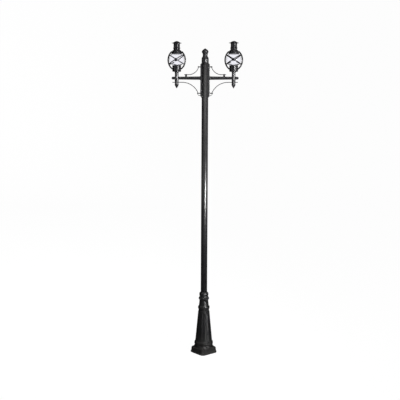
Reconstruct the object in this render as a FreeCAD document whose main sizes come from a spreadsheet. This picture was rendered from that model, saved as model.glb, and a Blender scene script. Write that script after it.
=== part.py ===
import FreeCAD, Part
import math
import os
from types import SimpleNamespace

import Sketcher
from FreeCAD import Placement, Rotation, Vector

# Twin-lantern lamp post: cast base, steel pole, two braced arms and two storm-lantern heads.
# Frame: origin at the middle of the base on the ground, +Z up, arms along X, access door at the back (+Y).
os.makedirs("parts", exist_ok=True)
doc = FreeCAD.newDocument("lamp_post")

# ---------------------------------------------------------------- driving dimensions (mm, degrees)
sizes_table = dict(
    # pole and its foot
    pole_radius=38.05, pole_wall=3.6, flange_radius=95.0, flange_thick=14.0, anchor_circle=150.0,
    anchor_hole_radius=7.0, anchor_room=4.0, arm_height=3245.0,
    # clearances, how far cutting tools stand past their work, how deep fused pieces reach into each other
    fit_gap=0.3, running_gap=0.05, door_gap=0.3, tool_overrun=10.0, weld=1.0, saddle_depth=5.0,
    # plinth, turned 45 degrees to the arms
    plinth_side=238.0, plinth_top_side=225.0, plinth_clip=23.0, plinth_foot=17.0, plinth_foot_step=3.0,
    plinth_shoulder=65.0, plinth_top=96.0, plinth_mouth=90.0, plinth_neck=105.0,
    # base shaft, a turned and fluted casting
    torus_height=42.0, torus_bulge=26.0, torus_to_taper=24.0, shaft_low_radius=99.5, shaft_high_radius=67.5,
    taper_length=338.0, shaft_wall=8.0, flute_count=12.0, flute_radius=15.0, flute_depth=3.5, flute_end=12.0,
    groove_radius=62.0, groove_height=29.0, ring_height=36.0, ring_bulge=27.0, neck_low_radius=57.75,
    neck_high_radius=52.0, neck_height=78.0, high_ring_height=28.0, high_ring_bulge=16.0,
    shaft_top_radius=51.5, shaft_top_height=23.0, foot_inset=3.0, foot_height=4.0, ring_step=6.0,
    groove_step=8.0, shaft_top_step=4.0, bore_step=10.0,
    # clamp collar
    collar_wall=16.2, collar_height=40.0, collar_round=10.0, grub_radius=4.0, grub_rise=14.0,
    grub_sink=1.0,
    # door boss, door and lock
    boss_half=54.0, boss_face=96.0, boss_root=70.0, boss_rise=106.0, boss_height=200.0, hollow_half=46.0,
    hollow_end=16.0,
    lip_half=38.0, lip_end=24.0, lip_thick=8.0, door_half=46.0, door_end=8.0, door_thick=5.0,
    hinge_offset=6.0, hinge_radius=5.0, hinge_pin_radius=2.5, knuckle_height=15.0, lug_height=12.0,
    hinge_inset=24.0, lock_offset=28.0, lock_radius=6.0, lock_flange=9.0, cam_length=15.0, cam_width=9.0,
    cam_thick=5.0, cam_gap=1.5, slot_half_width=1.0, slot_half_length=5.0,
    # electrical gear
    bracket_width=60.0, bracket_height=130.0, bracket_thick=3.0, bracket_stand=8.0, bracket_rise=25.0,
    bracket_foot=10.0, earth_drop=10.0,
    fuse_width=50.0, fuse_height=90.0, fuse_depth=18.0, fuse_rise=30.0, earth_radius=4.0, earth_length=16.0,
    wire_radius=3.0, wire_spread=9.0, wire_bend=12.0, wire_mouth_rise=31.0, wire_mouth_radius=14.0,
    wire_clear=1.0, wire_turn_in=13.0, wire_turn_up=27.0,
    # spines that carry the arms
    spine_thick=15.0, spine_width=40.0, spine_drop=227.0, spine_height=400.0, spine_low_slant=23.0,
    spine_high_slant=16.0, spine_screw_radius=5.0, spine_screw_head=9.0, spine_screw_pitch=60.0,
    spine_screw_start=1.0, screw_sink=5.0, screw_head_gap=0.5, screw_head_height=4.5, lug_width=14.0,
    lug_thick=16.0, lug_end=9.0, stay_radius=3.0, stay_rise=3.0, stay_inset=4.0, wire_hole=11.0,
    # arms
    arm_root_radius=19.5, arm_end_radius=16.2, arm_bore=11.5, arm_taper_stop=32.0, arm_overrun=44.0,
    knob_radius=14.5, knob_length=14.0, knob_rim=2.0, knob_plug=10.0, lantern_reach=328.0,
    # braces
    brace_radius=4.0, high_brace_rise=39.0, high_brace_back=87.0, high_brace_run=51.0,
    high_brace_end=24.2, high_brace_angle=70.0, high_brace_tail=1.0, low_brace_drop=48.0,
    low_brace_overrun=49.0, low_brace_run=113.0, low_brace_end=34.4, low_brace_angle=62.0,
    low_brace_tail=11.0, clip_back=120.0, clip_width=23.0, clip_depth=14.0, clip_top=46.0,
    # pole cap and finial
    cap_wall=2.5, pole_in_cap=26.0, cap_skirt=64.0, cap_round=12.0, cap_neck_radius=27.5,
    cap_neck_height=26.0, cap_slope=4.0, cap_screw_radius=3.0, finial_low_radius=28.0, finial_radius=38.5, finial_foot=6.0,
    finial_bulge=35.0, finial_neck_radius=10.0, finial_neck=66.0, finial_height=74.0,
    finial_belly_arc=26.95, finial_crown_arc=42.35,
    # lantern: pendant, stem and drum, heights above the arm's axis
    pendant_tip=117.0, pendant_cone=76.0, pendant_radius=23.0, stem_base=22.0, stem_radius=21.2,
    stem_bore=17.5, stem_cone=8.0, stem_rim=3.0, stem_cone_radius=26.0, drum_rise=73.0, drum_height=69.0,
    drum_radius=50.5, drum_wall=3.0, drum_wire_hole=6.0, gallery_thick=6.0, gallery_mouth=34.0,
    seal_radius=47.5, seal_bore=36.0, seal_height=3.0,
    # lantern: lamp
    holder_radius=19.0, holder_height=48.0, holder_socket=28.0, holder_wire_hole=4.0, lamp_cap_radius=13.0,
    lamp_cap_height=29.0, lamp_tip_radius=7.0, lamp_tip_height=5.0, lamp_radius=30.0, lamp_height=92.0,
    lamp_glass_wall=1.0,
    # lantern: globe, hoop and guards
    globe_foot_radius=45.0, globe_mouth_radius=52.0, globe_height=131.0, globe_belly_end=68.9,
    globe_belly_half=52.0, globe_wall=4.0,
    hoop_half_width=98.7, hoop_half_height=117.2, hoop_radius=8.3, hoop_centre=205.0, hoop_inset=8.0,
    guard_radius=6.0,
    guard_half_height=53.5, guard_stand=2.0, guard_boss=12.0, guard_boss_thick=8.0,
    # lantern: cap, chimney and hat
    lantern_cap_height=42.0, lantern_cap_radius=59.5, lantern_cap_round=14.0, lantern_cap_mouth=46.0,
    lantern_cap_wall=3.0, spigot_height=6.0, chimney_radius=36.5, chimney_wall=2.0, chimney_height=78.0,
    bead_bulge=8.5, bead_rise=15.0, bead_height=14.0, hat_radius=57.5, hat_height=24.0, hat_rim=2.0,
    hat_crown_radius=40.0, hat_crown_rise=6.0,
)


def text_of(value):
    return value.text if isinstance(value, Dim) else repr(value)


def number_of(value):
    return value.value if isinstance(value, Dim) else float(value)


class Dim:
    """A size and the spreadsheet expression that gives it, kept together through arithmetic."""

    def __init__(self, value, text):
        self.value = value
        self.text = text

    def __add__(self, other):
        return Dim(self.value + number_of(other), f"({self.text} + {text_of(other)})")

    def __radd__(self, other):
        return Dim(number_of(other) + self.value, f"({text_of(other)} + {self.text})")

    def __sub__(self, other):
        return Dim(self.value - number_of(other), f"({self.text} - {text_of(other)})")

    def __rsub__(self, other):
        return Dim(number_of(other) - self.value, f"({text_of(other)} - {self.text})")

    def __mul__(self, other):
        return Dim(self.value * number_of(other), f"({self.text} * {text_of(other)})")

    __rmul__ = __mul__

    def __rtruediv__(self, other):
        return Dim(number_of(other) / self.value, f"({text_of(other)} / {self.text})")

    def __truediv__(self, other):
        return Dim(self.value / number_of(other), f"({self.text} / {text_of(other)})")

    def __neg__(self):
        return Dim(-self.value, f"(-1 * {self.text})")


def root(size):
    return Dim(math.sqrt(size.value), f"sqrt({size.text})")


def build_sheet():
    sheet = doc.addObject("Spreadsheet::Sheet", "sizes")
    for row, (name, value) in enumerate(sizes_table.items(), start=1):
        sheet.set(f"A{row}", name)
        sheet.set(f"B{row}", str(value))
        sheet.setAlias(f"B{row}", name)
    doc.recompute()
    return SimpleNamespace(**{name: Dim(getattr(sheet, name), f"sizes.{name}") for name in sizes_table})


d = build_sheet()
nodes = []

# heights and reaches that follow from the sizes above
taper_start = d.plinth_top + d.torus_height + d.torus_to_taper
taper_end = taper_start + d.taper_length
low_ring_base = taper_end + d.groove_height
high_ring_base = low_ring_base + d.ring_height + d.neck_height
shaft_top = high_ring_base + d.high_ring_height + d.shaft_top_height
boss_base = d.plinth_top + d.boss_rise
boss_top = boss_base + d.boss_height
wire_mouth = boss_top + d.wire_mouth_rise
bracket_base = boss_base + d.bracket_rise
spine_base = d.arm_height - d.spine_drop
cap_base = spine_base + d.spine_height
pole_top = cap_base + d.pole_in_cap
spine_face = d.pole_radius + d.spine_thick
collar_radius = d.pole_radius + d.collar_wall
arm_taper_end = d.lantern_reach - d.arm_taper_stop
arm_end = d.lantern_reach + d.arm_overrun
high_brace_tip = d.lantern_reach - d.high_brace_back
low_brace_tip = d.lantern_reach + d.low_brace_overrun
clip_near = d.lantern_reach - d.clip_back
globe_base = d.drum_rise + d.drum_height + d.seal_height
globe_belly = root(d.globe_belly_end * d.globe_belly_end + d.globe_belly_half * d.globe_belly_half)
lantern_cap_base = globe_base + d.globe_height
lantern_cap_top = lantern_cap_base + d.lantern_cap_height
chimney_top = lantern_cap_top + d.chimney_height


# ---------------------------------------------------------------- helpers
def bind(thing, path, value):
    """Sets a property by its path, and ties it to the sheet where it comes from there."""
    if isinstance(value, Dim):
        thing.setExpression(path, value.text)
    else:
        setattr(thing, path, value)


def place(thing, x=0.0, y=0.0, z=0.0, rotation=None):
    """Gives an object its place, each coordinate tied to the sheet."""
    thing.Placement = Placement(Vector(number_of(x), number_of(y), number_of(z)), rotation or Rotation())
    for axis, value in zip("xyz", (x, y, z)):
        if isinstance(value, Dim):
            thing.setExpression(f"Placement.Base.{axis}", value.text)
    return thing


def node(thing, label):
    """Names a finished sub-part; its label is also its file's name."""
    thing.Label = label
    nodes.append(thing)
    return thing


def new_body(label):
    return doc.addObject("PartDesign::Body", label)


def new_sketch(body, plane, offset=None):
    """A sketch on one of the body's own origin planes, moved along the plane's normal by offset."""
    sketch = body.newObject("Sketcher::SketchObject", body.Name + "_sketch")
    support = next(item for item in body.Origin.OriginFeatures if item.Role == plane)
    sketch.AttachmentSupport = [(support, "")]
    sketch.MapMode = "FlatFace"
    if offset is not None:
        sketch.setExpression("AttachmentOffset.Base.z", text_of(offset))
    return sketch


def pin_point(sketch, index, end, point):
    """Fixes one end of a curve at a point measured from the sketch's origin."""
    for kind, value in zip(("DistanceX", "DistanceY"), point):
        number = sketch.addConstraint(Sketcher.Constraint(kind, -1, 1, index, end, number_of(value)))
        if isinstance(value, Dim):
            sketch.setExpression(f"Constraints[{number}]", value.text)


def arc_between(start, end, radius, left):
    """An arc from start to end, bulging to the left or right of the way from one to the other."""
    middle = (start + end) * 0.5
    chord = end - start
    side = Vector(-chord.y, chord.x, 0) * (1.0 / chord.Length)
    height = math.sqrt(max(radius ** 2 - (chord.Length / 2) ** 2, 0.0))
    centre = middle - side * height if left else middle + side * height
    top = centre + side * radius if left else centre - side * radius
    return Part.Arc(start, top, end)


def outline(sketch, points):
    """A closed outline. A point is (x, y), or (x, y, radius, side) where an arc arrives at it."""
    spots = [Vector(number_of(point[0]), number_of(point[1]), 0) for point in points]
    count = len(points)
    starts = []
    for index in range(count):
        start, end, arrival = spots[index], spots[(index + 1) % count], points[(index + 1) % count]
        if len(arrival) == 2:
            sketch.addGeometry(Part.LineSegment(start, end))
            starts.append((1, 2))
            continue
        sketch.addGeometry(arc_between(start, end, number_of(arrival[2]), arrival[3] == "left"))
        starts.append((2, 1) if arrival[3] == "left" else (1, 2))
    for index in range(count):
        following = (index + 1) % count
        sketch.addConstraint(
            Sketcher.Constraint("Coincident", index, starts[index][1], following, starts[following][0]))
        pin_point(sketch, index, starts[index][0], points[index][:2])
        if len(points[following]) == 4:
            radius = points[following][2]
            number = sketch.addConstraint(Sketcher.Constraint("Radius", index, number_of(radius)))
            if isinstance(radius, Dim):
                sketch.setExpression(f"Constraints[{number}]", radius.text)
    return sketch


def circle(sketch, x, y, radius):
    index = sketch.addGeometry(Part.Circle(Vector(number_of(x), number_of(y), 0), Vector(0, 0, 1),
                                           number_of(radius)))
    pin_point(sketch, index, 3, (x, y))
    number = sketch.addConstraint(Sketcher.Constraint("Radius", index, number_of(radius)))
    sketch.setExpression(f"Constraints[{number}]", text_of(radius))
    return sketch


def revolve(body, points, axis="V_Axis", plane="XZ_Plane"):
    """Turns a half-section of radius and height about the body's upright (or level) axis."""
    sketch = outline(new_sketch(body, plane), points)
    feature = body.newObject("PartDesign::Revolution", body.Name + "_turn")
    feature.Profile = sketch
    feature.ReferenceAxis = (sketch, [axis])
    feature.Angle = 360
    return body


def turned(label, points, axis="V_Axis"):
    return revolve(new_body(label), points, axis)


def pad(body, sketch, length, both_ways=False):
    feature = body.newObject("PartDesign::Pad", body.Name + "_pad")
    feature.Profile = sketch
    if both_ways:
        feature.SideType = "Symmetric"
    bind(feature, "Length", length)
    return feature


def pocket(body, sketch, length, both_ways=False, backwards=False):
    """Cuts a sketch into the body, and stops the build if it cuts nothing."""
    doc.recompute()
    before = body.Shape.Volume
    feature = body.newObject("PartDesign::Pocket", body.Name + "_cut")
    feature.Profile = sketch
    if both_ways:
        feature.SideType = "Symmetric"
    feature.Reversed = backwards
    bind(feature, "Length", length)
    doc.recompute()
    if body.Shape.Volume >= before - 1e-6:
        raise RuntimeError(f"{feature.Name} cuts nothing")
    return feature


def box(name, low, high):
    """A box from its low to its high corner, both tied to the sheet."""
    thing = doc.addObject("Part::Box", name)
    for side, start, end in zip(("Length", "Width", "Height"), low, high):
        bind(thing, side, end - start)
    return place(thing, *low)


def cylinder(name, radius, height, x=0.0, y=0.0, z=0.0, rotation=None):
    thing = doc.addObject("Part::Cylinder", name)
    bind(thing, "Radius", radius)
    bind(thing, "Height", height)
    return place(thing, x, y, z, rotation)


def fuse(name, *things):
    thing = doc.addObject("Part::MultiFuse", name)
    thing.Shapes = list(things)
    return thing


def cut(name, base, *tools):
    """Takes the tools away from the base, and stops the build if nothing goes."""
    thing = doc.addObject("Part::Cut", name)
    thing.Base = base
    thing.Tool = tools[0] if len(tools) == 1 else fuse(name + "_tools", *tools)
    doc.recompute()
    if thing.Shape.Volume >= base.Shape.Volume - 1e-6:
        raise RuntimeError(f"{name} cuts nothing")
    return thing


def group(label, things):
    """Like pieces in one node, each a solid of its own."""
    thing = doc.addObject("Part::Compound", label)
    thing.Links = things
    return node(thing, label)


def own_shape(label, shape, placement=None):
    """A piece whose shape comes from Part's own functions."""
    thing = doc.addObject("Part::Feature", label)
    thing.Shape = shape
    if placement is not None:
        thing.Placement = placement
    return thing


along_x = Rotation(Vector(0, 1, 0), 90)
against_x = Rotation(Vector(0, 1, 0), -90)
along_y = Rotation(Vector(1, 0, 0), -90)
half_turn = Rotation(Vector(0, 0, 1), 180)


def rounded_path(points, bend):
    """Straight runs joined by tangent arcs of one radius."""
    edges = []
    start = points[0]
    for before, corner, after in zip(points, points[1:], points[2:]):
        way_in = (corner - before).normalize()
        way_out = (after - corner).normalize()
        turn = way_in.getAngle(way_out)
        setback = bend * math.tan(turn / 2)
        first, last = corner - way_in * setback, corner + way_out * setback
        inward = (way_out - way_in).normalize()
        middle = corner + inward * (bend / math.cos(turn / 2) - bend)
        edges.append(Part.LineSegment(start, first).toShape())
        edges.append(Part.Arc(first, middle, last).toShape())
        start = last
    edges.append(Part.LineSegment(start, points[-1]).toShape())
    return Part.Wire(edges)


def rod(path, radius):
    """A round bar whose centre follows the path."""
    start = path.OrderedVertexes[0].Point
    first = path.OrderedEdges[0]
    tangent = first.tangentAt(first.FirstParameter)
    section = Part.Wire([Part.makeCircle(radius, start, tangent)])
    return path.makePipeShell([section], True, False)


# ---------------------------------------------------------------- base
def clipped_square(sketch, side, clip):
    half, near = side / 2, side / 2 - clip
    outline(sketch, [(half, -near), (half, near), (near, half), (-near, half),
                     (-half, near), (-half, -near), (-near, -half), (near, -half)])
    return sketch


def build_plinth():
    """Square plinth with clipped corners: a foot step, leaning sides and a sloping top."""
    body = new_body("base_plinth")
    foot = clipped_square(new_sketch(body, "XY_Plane"), d.plinth_side + 2 * d.plinth_foot_step, d.plinth_clip)
    pad(body, foot, d.plinth_foot)
    levels = [(d.plinth_foot, d.plinth_side, d.plinth_clip),
              (d.plinth_shoulder, d.plinth_top_side, d.plinth_clip),
              (d.plinth_top, 2 * d.plinth_neck, d.plinth_neck * (2 - math.sqrt(2)))]
    for low, high in zip(levels, levels[1:]):
        doc.recompute()
        loft = body.newObject("PartDesign::AdditiveLoft", "plinth_loft")
        loft.Profile = clipped_square(new_sketch(body, "XY_Plane", low[0]), low[1], low[2])
        loft.Sections = [clipped_square(new_sketch(body, "XY_Plane", high[0]), high[1], high[2])]
        loft.Ruled = True
    doc.recompute()
    pocket(body, circle(new_sketch(body, "XY_Plane"), 0.0, 0.0, d.plinth_mouth), d.plinth_top, backwards=True)
    well = circle(new_sketch(body, "XY_Plane"), 0.0, 0.0, d.flange_radius + d.anchor_room)
    pocket(body, well, d.plinth_shoulder, backwards=True)
    body.Placement = Placement(Vector(), Rotation(Vector(0, 0, 1), 45))
    node(body, "base_plinth")


def build_flange_and_pole():
    body = new_body("pole_flange")
    sketch = circle(new_sketch(body, "XY_Plane"), 0.0, 0.0, d.flange_radius)
    circle(sketch, 0.0, 0.0, d.pole_radius)
    pad(body, sketch, d.flange_thick)
    for turn in range(4):
        angle = math.radians(45 + 90 * turn)
        reach = d.anchor_circle / 2
        hole = circle(new_sketch(body, "XY_Plane"), reach * math.cos(angle), reach * math.sin(angle),
                      d.anchor_hole_radius)
        pocket(body, hole, d.flange_thick, backwards=True)
    node(body, "pole_flange")

    inside = d.pole_radius - d.pole_wall
    pole = turned("pole_tube", [
        (inside, 0.0), (d.pole_radius, 0.0), (d.pole_radius, pole_top), (inside, pole_top)])
    span = 2 * d.pole_radius + d.tool_overrun
    mouth = cylinder("wire_mouth", d.wire_mouth_radius, span / 2, z=wire_mouth, rotation=along_y)
    arm_hole = cylinder("arm_wire_hole", d.wire_hole, span, -span / 2, 0.0, d.arm_height, along_x)
    stud_hole = cylinder("earth_hole", d.earth_radius, span / 2, z=bracket_base - d.earth_drop,
                         rotation=along_y)
    node(cut("pole", pole, mouth, arm_hole, stud_hole), "pole")


def shaft_outline():
    """Half-section of the base shaft: torus, leaning shaft, rings and necks, hollow inside."""
    torus_top = d.plinth_top + d.torus_height
    bore = d.pole_radius + d.fit_gap
    low_ring_top = low_ring_base + d.ring_height
    high_ring_top = high_ring_base + d.high_ring_height
    foot = d.plinth_neck - d.foot_inset
    return [
        (d.plinth_mouth, d.plinth_top), (foot, d.plinth_top), (foot, d.plinth_top + d.foot_height),
        (foot, torus_top, d.torus_bulge, "right"), (d.shaft_low_radius, torus_top + d.ring_step),
        (d.shaft_low_radius, taper_start), (d.shaft_high_radius, taper_end),
        (d.groove_radius, taper_end + d.groove_step), (d.groove_radius, low_ring_base),
        (d.groove_radius, low_ring_top, d.ring_bulge, "right"), (d.neck_low_radius, low_ring_top + d.ring_step),
        (d.neck_high_radius, high_ring_base - d.ring_step), (d.neck_high_radius, high_ring_base),
        (d.neck_high_radius, high_ring_top, d.high_ring_bulge, "right"),
        (d.shaft_top_radius, high_ring_top + d.shaft_top_step), (d.shaft_top_radius, shaft_top),
        (bore, shaft_top), (bore, low_ring_top), (d.shaft_high_radius - d.shaft_wall, taper_end - d.bore_step),
        (d.plinth_mouth, taper_start)]


def build_base_shaft():
    """Fluted casting, the box let into it for the door, and the frame on the box with its hinge lugs."""
    shell = turned("shaft_turning", shaft_outline())
    lean = math.degrees(math.atan2(number_of(d.shaft_low_radius - d.shaft_high_radius),
                                   number_of(taper_end - taper_start)))
    reach = d.shaft_low_radius + d.flute_radius - d.flute_depth
    length = d.taper_length - 2 * d.flute_end
    flutes = []
    for turn in range(int(number_of(d.flute_count))):
        angle = 360.0 / number_of(d.flute_count) * (turn + 0.5)
        way = math.radians(angle)
        tilt = Rotation(Vector(0, 0, 1), angle) * Rotation(Vector(0, 1, 0), -lean)
        flutes.append(cylinder(f"flute_{turn}", d.flute_radius, length, reach * math.cos(way),
                               reach * math.sin(way), taper_start + d.flute_end, tilt))
    fluted = cut("fluted_shaft", shell, *flutes)
    lip_low, lip_high = boss_base + d.lip_end, boss_top - d.lip_end
    inner_low, inner_high = boss_base + d.hollow_end, boss_top - d.hollow_end
    lip_back = d.boss_face - d.lip_thick
    box_room = box("door_box_room", (-d.boss_half, d.boss_root, boss_base),
                   (d.boss_half, d.boss_face, boss_top))
    hollow = box("door_hollow", (-d.hollow_half, 0.0, inner_low), (d.hollow_half, lip_back, inner_high))
    bore = cylinder("shaft_bore", d.pole_radius + d.fit_gap, shaft_top)
    node(cut("base_shaft", fluted, box_room, hollow, bore), "base_shaft")

    blank = box("door_box_blank", (-d.boss_half, d.boss_root, boss_base), (d.boss_half, lip_back, boss_top))
    box_hollow = box("door_box_hollow", (-d.hollow_half, 0.0, inner_low),
                     (d.hollow_half, d.boss_face, inner_high))
    node(cut("door_box", blank, box_hollow), "door_box")

    pieces = [box("frame_plate", (-d.boss_half, lip_back, boss_base), (d.boss_half, d.boss_face, boss_top))]
    for index, (low, high) in enumerate(lug_spans()):
        barrel = cylinder(f"lug_barrel_{index}", d.hinge_radius, high - low, hinge_x, hinge_y, low)
        web = box(f"lug_web_{index}", (hinge_x - d.hinge_radius, d.boss_face - 2 * d.weld, low),
                  (hinge_x, hinge_y, high))
        pieces += [barrel, web]
    pins = [cylinder(f"pin_hole_{index}", d.hinge_pin_radius, high - low, hinge_x, hinge_y, low)
            for index, (low, high) in enumerate(pin_spans())]
    mouth = box("door_mouth", (-d.lip_half, 0.0, lip_low),
                (d.lip_half, d.boss_face + d.tool_overrun, lip_high))
    node(cut("door_frame", fuse("frame_blank", *pieces), mouth, *pins), "door_frame")


hinge_x = -(d.door_half + d.hinge_offset)
hinge_y = d.boss_face + d.door_gap + d.door_thick


def hinge_bases():
    """Heights of the lower end of each of the two hinges."""
    height = d.knuckle_height + 2 * (d.lug_height + d.door_gap)
    return [boss_base + d.hinge_inset, boss_top - d.hinge_inset - height]


def lug_spans():
    spans = []
    for base in hinge_bases():
        upper = base + d.lug_height + d.knuckle_height + 2 * d.door_gap
        spans += [(base, base + d.lug_height), (upper, upper + d.lug_height)]
    return spans


def pin_spans():
    return [(base, base + 2 * (d.lug_height + d.door_gap) + d.knuckle_height) for base in hinge_bases()]


def build_door():
    """Flat door on two knuckles, its hinge pins, and a lock whose cam turns behind the frame's lip."""
    low, high = boss_base + d.door_end, boss_top - d.door_end
    back = d.boss_face + d.door_gap
    plate = box("door_plate", (-d.door_half, back, low), (d.door_half, back + d.door_thick, high))
    pieces = [plate]
    for index, base in enumerate(hinge_bases()):
        start = base + d.lug_height + d.door_gap
        pieces.append(cylinder(f"knuckle_{index}", d.hinge_radius, d.knuckle_height, hinge_x, hinge_y, start))
        pieces.append(box(f"knuckle_leaf_{index}", (hinge_x, hinge_y - d.door_thick, start),
                          (-d.door_half, hinge_y, start + d.knuckle_height)))
    bores = [cylinder(f"knuckle_bore_{index}", d.hinge_pin_radius + d.running_gap, top - base, hinge_x,
                      hinge_y, base) for index, (base, top) in enumerate(pin_spans())]
    lock_height = boss_base + d.boss_height / 2
    keyway = cylinder("lock_hole", d.lock_radius + d.running_gap, d.door_thick + 2 * d.tool_overrun,
                      d.lock_offset, back - d.tool_overrun, lock_height, along_y)
    node(cut("access_door", fuse("door_blank", *pieces), *bores, keyway), "access_door")

    pins = [cylinder(f"hinge_pin_{index}", d.hinge_pin_radius, high - low, hinge_x, hinge_y, low)
            for index, (low, high) in enumerate(pin_spans())]
    group("door_hinge_pins", pins)

    cam_front = d.boss_face - d.lip_thick - d.cam_gap
    barrel = cylinder("lock_barrel", d.lock_radius, back + d.door_thick - cam_front, d.lock_offset, cam_front,
                      lock_height, along_y)
    face = cylinder("lock_face", d.lock_flange, d.cam_thick / 2, d.lock_offset,
                    back + d.door_thick + d.door_gap, lock_height, along_y)
    neck = cylinder("lock_neck", d.lock_radius, d.cam_thick / 2, d.lock_offset, back + d.door_thick,
                    lock_height, along_y)
    slot = box("lock_slot", (d.lock_offset - d.slot_half_width, back + d.door_thick + d.cam_thick / 4,
                             lock_height - d.slot_half_length),
               (d.lock_offset + d.slot_half_width, back + d.door_thick + d.cam_thick,
                lock_height + d.slot_half_length))
    cam = box("lock_cam", (d.lock_offset - d.cam_width / 2, cam_front - d.cam_thick,
                           lock_height - d.cam_length),
              (d.lock_offset + d.cam_width / 2, cam_front, lock_height + d.cam_width / 2))
    node(cut("door_lock", fuse("lock_blank", barrel, neck, face, cam), slot), "door_lock")


def build_collar():
    """Collar that clamps the shaft to the pole; returns its three grub screws."""
    base = shaft_top
    top = base + d.collar_height
    bore = d.pole_radius + d.fit_gap
    collar = turned("collar_turning", [
        (bore, base), (collar_radius, base), (collar_radius, top - d.collar_round),
        (collar_radius - d.collar_round, top, d.collar_round, "right"), (bore, top)])
    holes, screws = [], []
    length = collar_radius - d.pole_radius
    for index, angle in enumerate((90, 210, 330)):
        way = math.radians(angle)
        turn = Rotation(Vector(0, 0, 1), angle) * along_x
        x, y = d.pole_radius * math.cos(way), d.pole_radius * math.sin(way)
        holes.append(cylinder(f"grub_hole_{index}", d.grub_radius, length + d.tool_overrun, x, y,
                              base + d.grub_rise, turn))
        screws.append(cylinder(f"grub_{index}", d.grub_radius, length - d.grub_sink, x, y,
                               base + d.grub_rise, turn))
    node(cut("base_collar", collar, *holes), "base_collar")
    return screws


def build_gear():
    """Bracket, fuse unit and earth stud on the back of the pole, behind the door."""
    low, high = bracket_base, bracket_base + d.bracket_height
    front = d.pole_radius + d.bracket_stand
    half = d.bracket_width / 2
    plate = box("bracket_plate", (-half, front, low), (half, front + d.bracket_thick, high))
    foot_half = d.bracket_width / 4
    feet = [box(f"bracket_foot_{index}", (-foot_half, d.pole_radius - d.saddle_depth, base),
                (foot_half, front, base + d.bracket_foot))
            for index, base in enumerate((low, high - d.bracket_foot))]
    pole_room = cylinder("bracket_saddle", d.pole_radius, d.bracket_height + 2 * d.tool_overrun,
                         z=low - d.tool_overrun)
    node(cut("gear_bracket", fuse("bracket_blank", plate, *feet), pole_room), "gear_bracket")

    back = front + d.bracket_thick
    fuse_low = low + d.fuse_rise
    node(box("fuse_unit", (-d.fuse_width / 2, back, fuse_low),
             (d.fuse_width / 2, back + d.fuse_depth, fuse_low + d.fuse_height)), "fuse_unit")
    node(cylinder("earth_stud", d.earth_radius, d.earth_length + d.pole_wall, y=d.pole_radius - d.pole_wall,
                  z=low - d.earth_drop, rotation=along_y), "earth_stud")


# ---------------------------------------------------------------- top of the pole
def brace_facts():
    """Level starts and bends of the braces, and the centres and reaches of the lugs that they end in."""
    rise, fall = math.radians(d.high_brace_angle.value), math.radians(d.low_brace_angle.value)
    high_start = high_brace_tip - d.high_brace_run
    low_start = low_brace_tip - d.low_brace_run
    high_end, low_end = spine_face + d.high_brace_end, spine_face + d.low_brace_end
    high_bend = (high_start - high_end) / math.sin(rise)
    low_bend = (low_start - low_end) / math.sin(fall)
    half = d.lug_thick / 2
    return SimpleNamespace(
        high_start=high_start, low_start=low_start, high_bend=high_bend, low_bend=low_bend,
        high_lug=d.high_brace_rise + high_bend * (1 - math.cos(rise)) + d.high_brace_tail + half,
        low_lug=d.low_brace_drop + low_bend * (1 - math.cos(fall)) + d.low_brace_tail + half,
        high_reach=high_end + d.lug_end,
        low_reach=low_end - d.low_brace_tail / math.tan(fall) + d.lug_end)


def build_spine(name, side):
    """Bar on the side of the pole with slanted ends, a lug for each brace and a stay under the lower one."""
    low, high = spine_base, spine_base + d.spine_height
    braces = brace_facts()
    inside = d.pole_radius - d.saddle_depth
    body = new_body(name + "_bar")
    sketch = outline(new_sketch(body, "XZ_Plane"), [
        (inside, low), (d.pole_radius, low), (spine_face, low + d.spine_low_slant),
        (spine_face, high - d.spine_high_slant), (d.pole_radius, high), (inside, high)])
    pad(body, sketch, d.spine_width, both_ways=True)
    half, rise = d.lug_width / 2, d.lug_thick / 2
    upper, lower = d.arm_height + braces.high_lug, d.arm_height - braces.low_lug
    high_lug = box(name + "_high_lug", (spine_face - d.weld, -half, upper - rise),
                   (braces.high_reach, half, upper + rise))
    low_lug = box(name + "_low_lug", (spine_face - d.weld, -half, lower - rise),
                  (braces.low_reach, half, lower + rise))
    foot = Vector((spine_face - 2 * d.weld).value, 0, (low + d.spine_low_slant + d.stay_rise).value)
    tip = Vector((braces.low_reach - d.stay_inset).value, 0, (lower - rise + d.weld).value)
    stay = cylinder(name + "_stay", d.stay_radius, (tip - foot).Length, foot.x, 0.0, foot.z,
                    Rotation(Vector(0, 0, 1), tip - foot))
    pole_room = cylinder(name + "_saddle", d.pole_radius, d.spine_height + 2 * d.tool_overrun,
                         z=low - d.tool_overrun)
    wire_room = cylinder(name + "_wire_hole", d.wire_hole, spine_face + d.tool_overrun, 0.0, 0.0,
                         d.arm_height, along_x)
    holes = [cylinder(f"{name}_screw_hole_{index}", d.spine_screw_radius, spine_face, 0.0, 0.0, height,
                      along_x) for index, height in enumerate(spine_screw_heights())]
    heads = [cylinder(f"{name}_head_room_{index}", d.spine_screw_head, d.spine_thick,
                      spine_face - d.screw_sink, 0.0, height, along_x)
             for index, height in enumerate(spine_screw_heights())]
    blank = fuse(name + "_blank", body, high_lug, low_lug, stay)
    spine = cut(name, blank, pole_room, wire_room, *holes, *heads)
    if side < 0:
        spine.Placement = Placement(Vector(), half_turn)
    node(spine, name)


def spine_screw_heights():
    return [spine_base + d.spine_low_slant + d.spine_screw_pitch, d.arm_height - d.spine_screw_pitch,
            d.arm_height + d.spine_screw_pitch]


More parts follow.
